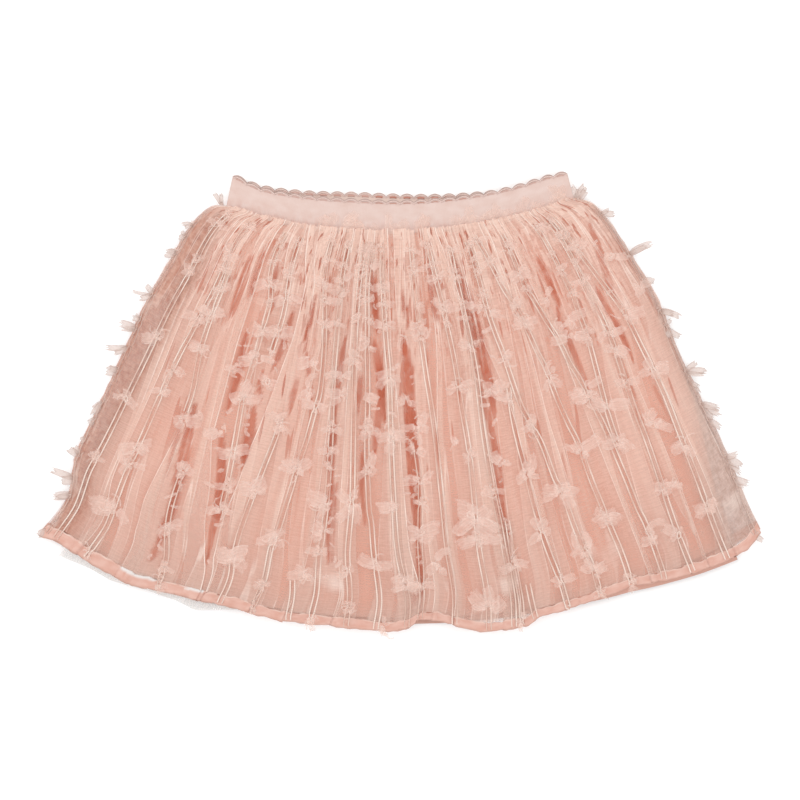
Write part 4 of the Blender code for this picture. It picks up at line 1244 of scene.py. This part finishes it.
def add_front(materials):
    """The pleated front panel and its hem. Gives a tree of their tops, for what lies on them."""
    rng = np.random.default_rng(7)
    across, level, edge = (np.stack(part, 1) for part in zip(*front_columns(rng)))
    across = np.clip(across, -1, 1)
    downs = FRONT_DOWNS[:, None]
    ruffle = rng.uniform(0.0, HEAD_RUFFLE, across.shape[1]) * (np.abs(across[0]) < 0.97)
    points = lay_front(across, downs, level, ruffle)
    unlined = unlined_share(across, downs)
    attributes = {
        "thickness": (1 + 0.3 * fade(downs, 0.07)) * (1 + 0.35 * unlined),
        "unlined": unlined,
        "edge": edge,
        "lane": lane_of(across, downs),
        "valley": valley_share(points[..., 0], points[..., 1]),
    }
    along = run(points[-1])
    uvs = np.stack(np.meshgrid(along, FRONT_DOWNS * PANEL_LENGTH), -1)
    faces = grid_faces(*across.shape)
    panel = new_object("tulle_front_net", points, faces, materials["tulle"], uvs, attributes)
    dress(panel, "tulle_front", shadow=False)
    hem_points = lay_front_hem(across[-1], level[-1], ruffle, along)
    hem = add_front_hem(hem_points, across[-1], along, materials["hem"])
    tops = np.concatenate([points.reshape(-1, 3), hem_points.reshape(-1, 3)])
    faces = np.concatenate([faces, grid_faces(len(HEM_DOWNS), len(along), across.size)])
    return BVHTree.FromPolygons(tops.tolist(), faces.tolist())


def top_of(tree, x, y, floor=2.0):
    """The height of the front panel's top at this point, or the floor's where it isn't there."""
    hit = tree.ray_cast(Vector((x, y, SKY)), Vector((0, 0, -1)))[0]
    return hit.z if hit else floor


# ---------------------------------------------------------------- the layers underneath


def add_layer(materials, name, node, material, slot, lines, columns, span, hem, floor, ripple):
    """A layer that lies under the front panel, with soft ripples down it."""
    share = np.linspace(-1, 1, columns)[None]
    downs = np.linspace(*lines)[:, None]
    across = share * np.where(share < 0, read(span, downs, 1), read(span, downs, 2))
    x, y = plan(across, downs, hem)
    wave = 0.5 + 0.5 * np.sin(across * 37 + 2.0 * np.sin(across * 9) + 0.7)
    z = floor + ripple * wave * np.clip(downs * 4, 0.15, 1) * np.clip((1 - np.abs(share)) * 12, 0, 1)
    uvs = np.stack(np.broadcast_arrays(half_width(downs) * across, downs * PANEL_LENGTH), -1)
    attributes = {}
    if slot == "tulle":
        unlined = np.clip((np.abs(across) - 0.87) / 0.01, 0, 1)
        lane = lane_of(across, downs)
        one = np.ones(x.shape)
        attributes = {"thickness": one, "unlined": unlined, "edge": FAR * one, "lane": lane}
    elif slot == "lining":
        # The lining's painted shade: its valleys, and a greyer rim at its sides and foot.
        side = np.clip((np.abs(share) - 0.91) / 0.09, 0, 1)
        low = np.clip((downs - 0.955) / 0.045, 0, 1)
        attributes = {"valley": valley_share(x, y), "rim": 0.8 * np.maximum(side, low)}
    faces = grid_faces(*x.shape)
    obj = new_object(name, np.stack([x, y, z], -1), faces, materials[material], uvs, attributes)
    dress(obj, node, shadow=slot != "tulle")
    return obj


def add_layers(materials):
    """Lays the layers under the front panel."""
    back, back_hem, net, lining_back, lining_front = (add_layer(materials, *layer) for layer in LAYERS)


# ---------------------------------------------------------------- the waistband


def add_band(materials, side, column, floor, _):
    """Half of the waistband, with scallops along its top and puckers along its foot."""
    across = np.linspace(-1, 1, PICOTS * 12 + 1)[None]
    low_x, low_y = plan(across, 0.0)
    height = read(BAND, across, column)
    picot = PICOT_HEIGHT * np.abs(np.sin(np.pi * across * PICOTS / 2)) ** PICOT_POWER
    share = BAND_LINES[:, None]
    x = low_x * (1 + (BAND_TOP_SHARE - 1) * share.clip(0, 1))
    soft = 0.8 * np.sin(across * 61 + 2 * np.sin(across * 17)) * fade(share, 0.12)
    y = low_y + soft + share * (height - PICOT_HEIGHT) + picot * np.clip((share - 0.86) / 0.14, 0, 1)
    pucker = 0.35 * np.sin(across * 190 + 3 * np.sin(across * 23)) * fade(share, 0.35)
    bulge = 0.4 * np.sin(np.pi * share.clip(0, 1)) - 0.3 * fade(share, 0.08)
    points = np.stack([x, y, floor + bulge + pucker], -1)
    uvs = np.stack(np.broadcast_arrays(low_x, share * height), -1)
    material = materials[f"band_{side}"]
    band = new_object(f"waistband_{side}_elastic", points, grid_faces(*x.shape), material, uvs, {})
    thicken(band, BAND_THICKNESS)
    dress(band, f"waistband_{side}", shadow=False)


def add_picots(materials, side, column, floor, slot_radius):
    """The picot edge: over each scallop an outline, a pale loop inside it and a slot under that."""
    loops = Gatherer()
    s = np.linspace(0, 1, PICOT_POINTS)
    arch = np.sin(np.pi * s) ** PICOT_POWER
    for k in range(PICOTS):
        across = -1 + 2 * (k + s) / PICOTS
        x, low_y = plan(across, 0.0)
        base = low_y + read(BAND, across, column) - PICOT_HEIGHT
        slot_shade = 0.5 if k in DARK_PICOTS else 0.3
        for rise, lift, radius, shade, part in (
            (1.0, 0.15, 0.22, 1.0, slice(None)),
            (0.85, -0.7, 0.42, 0.0, slice(None)),
            (0.7, -1.8, slot_radius, slot_shade, slice(2, -2)),
        ):
            y = base + arch * PICOT_HEIGHT * rise + lift
            path = np.stack([x * BAND_TOP_SHARE, y, np.full(PICOT_POINTS, floor + PICOT_LIFT)], -1)
            loops.add(*tube(path[part], radius, 5), shade)
    loops.build(f"waistband_{side}_picots", materials["picot"], "elastic")


# ---------------------------------------------------------------- threads and bows


def stripe_line(places):
    """A stripe's path as (across, down), drawn tight between its ends."""
    table = np.column_stack([np.linspace(0, 1, len(places)), places])
    count = max(12, int(abs(places[-1][1] - places[0][1]) * 90))
    steps = np.linspace(0, 1, count)
    reach = max(1, count // 14)
    across = np.pad(read(table, steps, 1), reach, "reflect", reflect_type="odd")
    kernel = np.ones(2 * reach + 1) / (2 * reach + 1)
    return np.convolve(across, kernel, "valid"), np.minimum(read(table, steps, 2), LAST_DOWN)


def add_threads(gatherer, line, knots, tree, shade=0.0):
    """A pair of threads along a line, which pinch together at each knot."""
    across, down = line
    x, y = front_plan(across, down)
    z = np.array([top_of(tree, px, py) for px, py in zip(x, y)])
    z = np.maximum(z, np.convolve(np.pad(z, 2, "edge"), np.ones(5) / 5, "valid")) + THREAD_LIFT
    pinch = np.ones(len(x))
    for knot_down in knots:
        pinch = np.minimum(pinch, np.clip(np.abs(down - knot_down) / PINCH, 0.5, 1))
    tangent = np.stack([np.gradient(x), np.gradient(y)], -1)
    tangent /= np.linalg.norm(tangent, axis=1)[:, None]
    normal = np.stack([-tangent[:, 1], tangent[:, 0]], -1)
    radius = THREAD_RADIUS * (1 - 0.4 * shade) * np.interp(down, (0.0, 0.45), (WAIST_THREAD_SHARE, 1.0))
    for sign in (-1, 1):
        offset = normal * (sign * read(THREAD_GAPS, down) / 2 * pinch)[:, None]
        path = np.stack([x + offset[:, 0], y + offset[:, 1], z], -1)
        gatherer.add(*tube(path, radius, 6), shade)


def strip(root, angle, length, breadth, curl, rise, rng, columns=6, fray=0.05):
    """A strip of tulle from a knot: points, faces and UVs. It widens to a ragged cut end."""
    s = np.linspace(0, 1, STRIP_POINTS)[:, None]
    t = np.linspace(-0.5, 0.5, columns)[None]
    turn = angle + curl * s
    x = root[0] + np.cumsum(np.cos(turn), 0) / STRIP_POINTS * length
    y = root[1] + np.cumsum(np.sin(turn), 0) / STRIP_POINTS * length
    width = breadth * (0.72 + 0.28 * np.sin(np.minimum(s * 3, 1) * np.pi / 2)) * (1 - 0.15 * s**4)
    ragged = rng.uniform(-fray, fray, t.shape) * length + rng.uniform(-0.3, 0.3) * breadth * t
    fold = rng.uniform(0.12, 0.3) * np.sin(t * 9 + rng.uniform(0, 6.3) + s * 2) * np.clip(s * 3, 0.3, 1)
    x = x - np.sin(turn) * width * t + np.cos(turn) * ragged * s**2
    y = y + np.cos(turn) * width * t + np.sin(turn) * ragged * s**2
    z = root[2] + rise * np.sin(s * np.pi * 0.9) + fold
    uvs = np.stack(np.broadcast_arrays(s, t + 0.5), -1)
    return np.stack([x, y, z], -1), grid_faces(STRIP_POINTS, columns), uvs


def add_knot(gatherer, root, size, angle, rng, shade):
    """The middle of a bow: on some a loop that stands up, on the others a crumpled end or two."""
    if rng.uniform() < RING_SHARE:
        s = np.linspace(0, 2 * np.pi, 11)
        long, short = size * rng.uniform(1.6, 2.6), size * rng.uniform(1.0, 1.8)
        along = np.array([math.cos(angle), math.sin(angle), 0.0])
        aside = np.array([-along[1], along[0], 0.0])
        path = np.outer(np.cos(s) * short, along) + np.outer(np.sin(s) * long, aside) + root
        path[:, 2] += 0.9 + 0.5 * np.sin(s + rng.uniform(0, 6.3))
        gatherer.add(*tube(path, 0.5 * size, 5), shade)
        return
    for _ in range(rng.integers(1, 3)):
        place = root + np.array([*rng.uniform(-1.2, 1.2, 2), 0.5])
        turn, curl = rng.uniform(0, 6.3), rng.uniform(-2.5, 2.5)
        length, breadth = size * rng.uniform(3.0, 5.5), size * rng.uniform(1.6, 3.0)
        gatherer.add(*strip(place, turn, length, breadth, curl, 1.5, rng), shade / 2)


def add_bow(gatherer, centre, kind, size, tilt, rng, tree):
    """A tied bow of one of the kinds in BOW_FORMS, its strips leaning on the panel."""
    x, y = centre
    near = [top_of(tree, x + dx, y + dy) for dx in (-3, 0, 3) for dy in (-2, 2)]
    root = np.array([x, y, max(near) + BOW_LIFT])
    tilt = tilt + rng.uniform(-8, 8)
    size = size * BOW_SCALE
    for angle, length, breadth, curl, rise in BOW_FORMS[kind]:
        if rng.uniform() < MISSING_SHARE:
            continue
        angle = math.radians(angle + tilt + rng.uniform(-STRIP_TURN, STRIP_TURN))
        length *= size * rng.uniform(0.55, 1.2)
        breadth *= size * rng.uniform(0.85, 1.5)
        start = root + np.array([*rng.uniform(-1.8, 1.8, 2), 0.0]) * size
        points, faces, uvs = strip(start, angle, length, breadth, curl + rng.uniform(-0.6, 0.6), rise, rng)
        tip = (x + math.cos(angle) * length * 0.8, y + math.sin(angle) * length * 0.8)
        surface = top_of(tree, *tip, floor=root[2] - 1.5)
        points[..., 2] += (surface + 0.6 - root[2]) * np.linspace(0, 1, len(points))[:, None]
        gatherer.add(points, faces, uvs)
    # The crumpled middle, which stands up along the threads.
    for _ in range(rng.integers(1, 4)):
        start = root + np.array([rng.uniform(-1.5, 1.5), rng.uniform(-2.5, 2.5), 0.4]) * size
        angle = rng.choice([-1, 1]) * math.pi / 2 + rng.uniform(-0.9, 0.9)
        length, breadth = size * rng.uniform(3.5, 6.5), size * rng.uniform(2.5, 4.5)
        piece = strip(start, angle, length, breadth, rng.uniform(-1.5, 1.5), 1.0, rng)
        gatherer.add(*piece, rng.uniform(-0.3, 0.0))
    # Thin ends that curl up and catch the light.
    for _ in range(rng.integers(0, 4)):
        start = root + np.array([*rng.uniform(-4, 4, 2), 0.8]) * size
        length, breadth = size * rng.uniform(5, 11), rng.uniform(0.7, 1.4)
        curl = rng.choice([-1, 1]) * rng.uniform(0.5, 3.2)
        piece = strip(start, rng.uniform(0, 6.3), length, breadth, curl, 1.2, rng)
        gatherer.add(*piece, rng.uniform(-0.7, -0.3))
    add_knot(gatherer, root, size, math.radians(tilt), rng, -1.0)


def crowd_bows(line, bows, rng):
    """Adds small bows to a stripe's own along one of its lines, but not near another or in a valley."""
    for down in CROWD_DOWNS:
        down += rng.uniform(-0.015, 0.015)
        if down < line[1][0] or any(abs(down - bow[1]) < CROWD_GAP for bow in bows):
            continue
        across = np.interp(down, line[1], line[0])
        if valley_share(*front_plan(across, down)) > 0.1:
            continue
        kind = rng.choice(CROWD_KINDS)
        bows.append([across, down, kind, CROWD_SIZE * rng.uniform(0.8, 1.2), rng.uniform(-25, 25)])


def add_stripes(materials, tree):
    """The pairs of threads down the front, and the bows tied on them."""
    rng = np.random.default_rng(21)
    for number, paths in STRIPES.items():
        threads, tied = Gatherer(), Gatherer()
        bows = [list(bow) for bow in BOWS[number]]
        for places in paths:
            line = stripe_line(places)
            knots = []
            for bow in bows:
                on_line = np.interp(bow[1], line[1], line[0])
                if line[1][0] - 0.02 < bow[1] < line[1][-1] + 0.02 and abs(on_line - bow[0]) < KNOT_REACH:
                    bow[0] = on_line
                    knots.append(bow[1])
            add_threads(threads, line, knots, tree)
            crowd_bows(line, bows, rng)
        stripe = f"stripe_{number:02d}"
        threads.build(f"{stripe}_threads", materials["thread"], "threads", f"bow_{stripe}")
        for across, down, kind, size, tilt in bows:
            add_bow(tied, front_plan(across, down), kind, size, tilt, rng, tree)
        tied.build(f"{stripe}_bows", materials["ribbon"], "tulle", shadow=False)


def add_ruffles(materials, tree):
    """Narrow crumpled bits of the tulle that curl across the deeper valleys."""
    rng = np.random.default_rng(33)
    ruffles = Gatherer()
    for width, _, places in VALLEYS:
        if width < RUFFLED_WIDTH:
            continue
        line, starts = valley_line(places)
        for s in np.arange(4.0, starts[-1], RUFFLE_PITCH):
            if rng.uniform() > 0.6:
                continue
            s += rng.uniform(-3, 3)
            x = np.interp(s, starts, line[:, 0]) + rng.uniform(-0.9, 0.9) * width
            y = np.interp(s, starts, line[:, 1])
            angle = rng.choice([0, math.pi]) + rng.uniform(-0.8, 0.8)
            root = np.array([x, y, top_of(tree, x, y) + 0.4])
            length, breadth = width * rng.uniform(1.2, 2.6), rng.uniform(1.2, 3.2)
            piece = strip(root, angle, length, breadth, rng.uniform(-2.2, 2.2), 1.0, rng)
            ruffles.add(*piece, rng.uniform(-0.5, 0.0))
    ruffles.build("tulle_front_ruffles", materials["ribbon"], "tulle", shadow=False)


def add_waist_tufts(materials):
    """Crushed ends of the tulle that stand up over the foot of the waistband."""
    rng = np.random.default_rng(17)
    tufts = Gatherer()
    for start, end, count, rise in WAIST_TUFTS:
        for across in rng.uniform(start, end, count):
            x, y = plan(across, 0.0)
            root = np.array([x, y + rng.uniform(-2, rise), TUFT_HEIGHT])
            angle = math.pi / 2 + rng.uniform(-1.3, 1.3)
            length, breadth = rng.uniform(7, 15), rng.uniform(5, 10)
            piece = strip(root, angle, length, breadth, rng.uniform(-1.2, 1.2), 0.8, rng)
            tufts.add(*piece, rng.uniform(-0.4, 0.0))
    tufts.build("tulle_front_tufts", materials["ribbon"], "tulle", shadow=False)


def add_side_stripes(materials, tree):
    """The threads on the turn of the two sides, and their bows' strips."""
    rng = np.random.default_rng(4)
    for side, bows in SIDE_STRIPS.items():
        across = -SIDE_ACROSS if side == "left" else SIDE_ACROSS
        threads, tied = Gatherer(), Gatherer()
        line = np.full(90, across), np.linspace(0.06, 0.99, 90)
        add_threads(threads, line, [down for down, _ in bows], tree, SIDE_THREAD_SHADE)
        threads.build(f"side_{side}_threads", materials["thread"], "threads", f"bow_stripe_side_{side}")
        for down, strips in bows:
            x, y = front_plan(across, down)
            for k, (angle, length, breadth) in enumerate(strips):
                root = np.array([x, y, 3.6 + 0.4 * k])
                curl, rise = rng.uniform(-0.4, 0.4), rng.uniform(0.5, 2.0)
                tied.add(*strip(root, math.radians(angle), length, breadth, curl, rise, rng, 10, 0.13), 1.0)
            add_knot(tied, root, 0.7, math.radians(angle), rng, 1.0)
        tied.build(f"side_{side}_bows", materials["ribbon"], "tulle", shadow=False)


# ---------------------------------------------------------------- stage


def add_stage():
    """A pale floor, two soft lamps, a white room and the camera, straight above the skirt."""
    scene = bpy.context.scene
    mesh = bpy.data.meshes.new("ground")
    mesh.from_pydata([(-6, -6, 0), (6, -6, 0), (6, 6, 0), (-6, 6, 0)], [], [(0, 1, 2, 3)])
    ground = bpy.data.objects.new("ground", mesh)
    shader = Shader("ground", 0.9)
    shader.set("Base Color", (0.93, 0.93, 0.93, 1))
    mesh.materials.append(shader.material)
    scene.collection.objects.link(ground)
    ground.location.z = -0.0005
    world = bpy.data.worlds.new("studio")
    world.use_nodes = True
    background = world.node_tree.nodes["Background"]
    background.inputs["Color"].default_value = (1, 1, 1, 1)
    background.inputs["Strength"].default_value = 0.98
    scene.world = world
    for name, place, power in (("key", (-0.9, 0.9, 1.6), 15.5), ("fill", (1.2, -0.6, 1.8), 10.0)):
        data = bpy.data.lights.new(name, "AREA")
        data.size = 2.0
        data.energy = power
        lamp = bpy.data.objects.new(name, data)
        lamp.location = place
        lamp.rotation_euler = (-Vector(place)).to_track_quat("-Z", "Y").to_euler()
        scene.collection.objects.link(lamp)
    data = bpy.data.cameras.new("camera")
    data.lens = CAMERA_LENS
    data.sensor_width = CAMERA_SENSOR
    camera = bpy.data.objects.new("camera", data)
    x, y = CAMERA_PLACE
    camera.location = (x, y, SKIRT_TOP + PICTURE_WIDTH * CAMERA_LENS / CAMERA_SENSOR)
    scene.collection.objects.link(camera)
    scene.camera = camera
    scene.view_settings.view_transform = "Standard"
    scene.cycles.transparent_max_bounces = 48


def main():
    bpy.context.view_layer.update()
    materials = {
        "tulle": make_tulle(),
        "lining": make_lining("lining", lit(242, 178, 155), lit(234, 167, 144), lit(210, 114, 84)),
        # Painted light: the back lining is the lining's cloth in paler colours, as if more light falls on
        # it where it shows below the hem.
        "lining_back": make_lining(
            "lining_back", lit(244, 192, 176), lit(238, 182, 164), lit(238, 182, 164)
        ),
        "hem": make_hem(),
        "net": make_net(),
        "band_front": make_elastic("elastic", lit(238, 212, 203), lit(230, 199, 188)),
        # Painted light: the inside of the back band is the same elastic as the front, painted paler to lift
        # the shade that falls on it behind the front band.
        "band_back": make_elastic("elastic_inside", lit(255, 232, 220), lit(250, 221, 208)),
        "ribbon": make_ribbon(),
        "thread": make_thread(),
        "picot": make_picot(),
    }
    add_layers(materials)
    tree = add_front(materials)
    for band in BANDS:
        add_band(materials, *band)
        add_picots(materials, *band)
    add_stripes(materials, tree)
    add_ruffles(materials, tree)
    add_waist_tufts(materials)
    add_side_stripes(materials, tree)
    add_stage()


main()
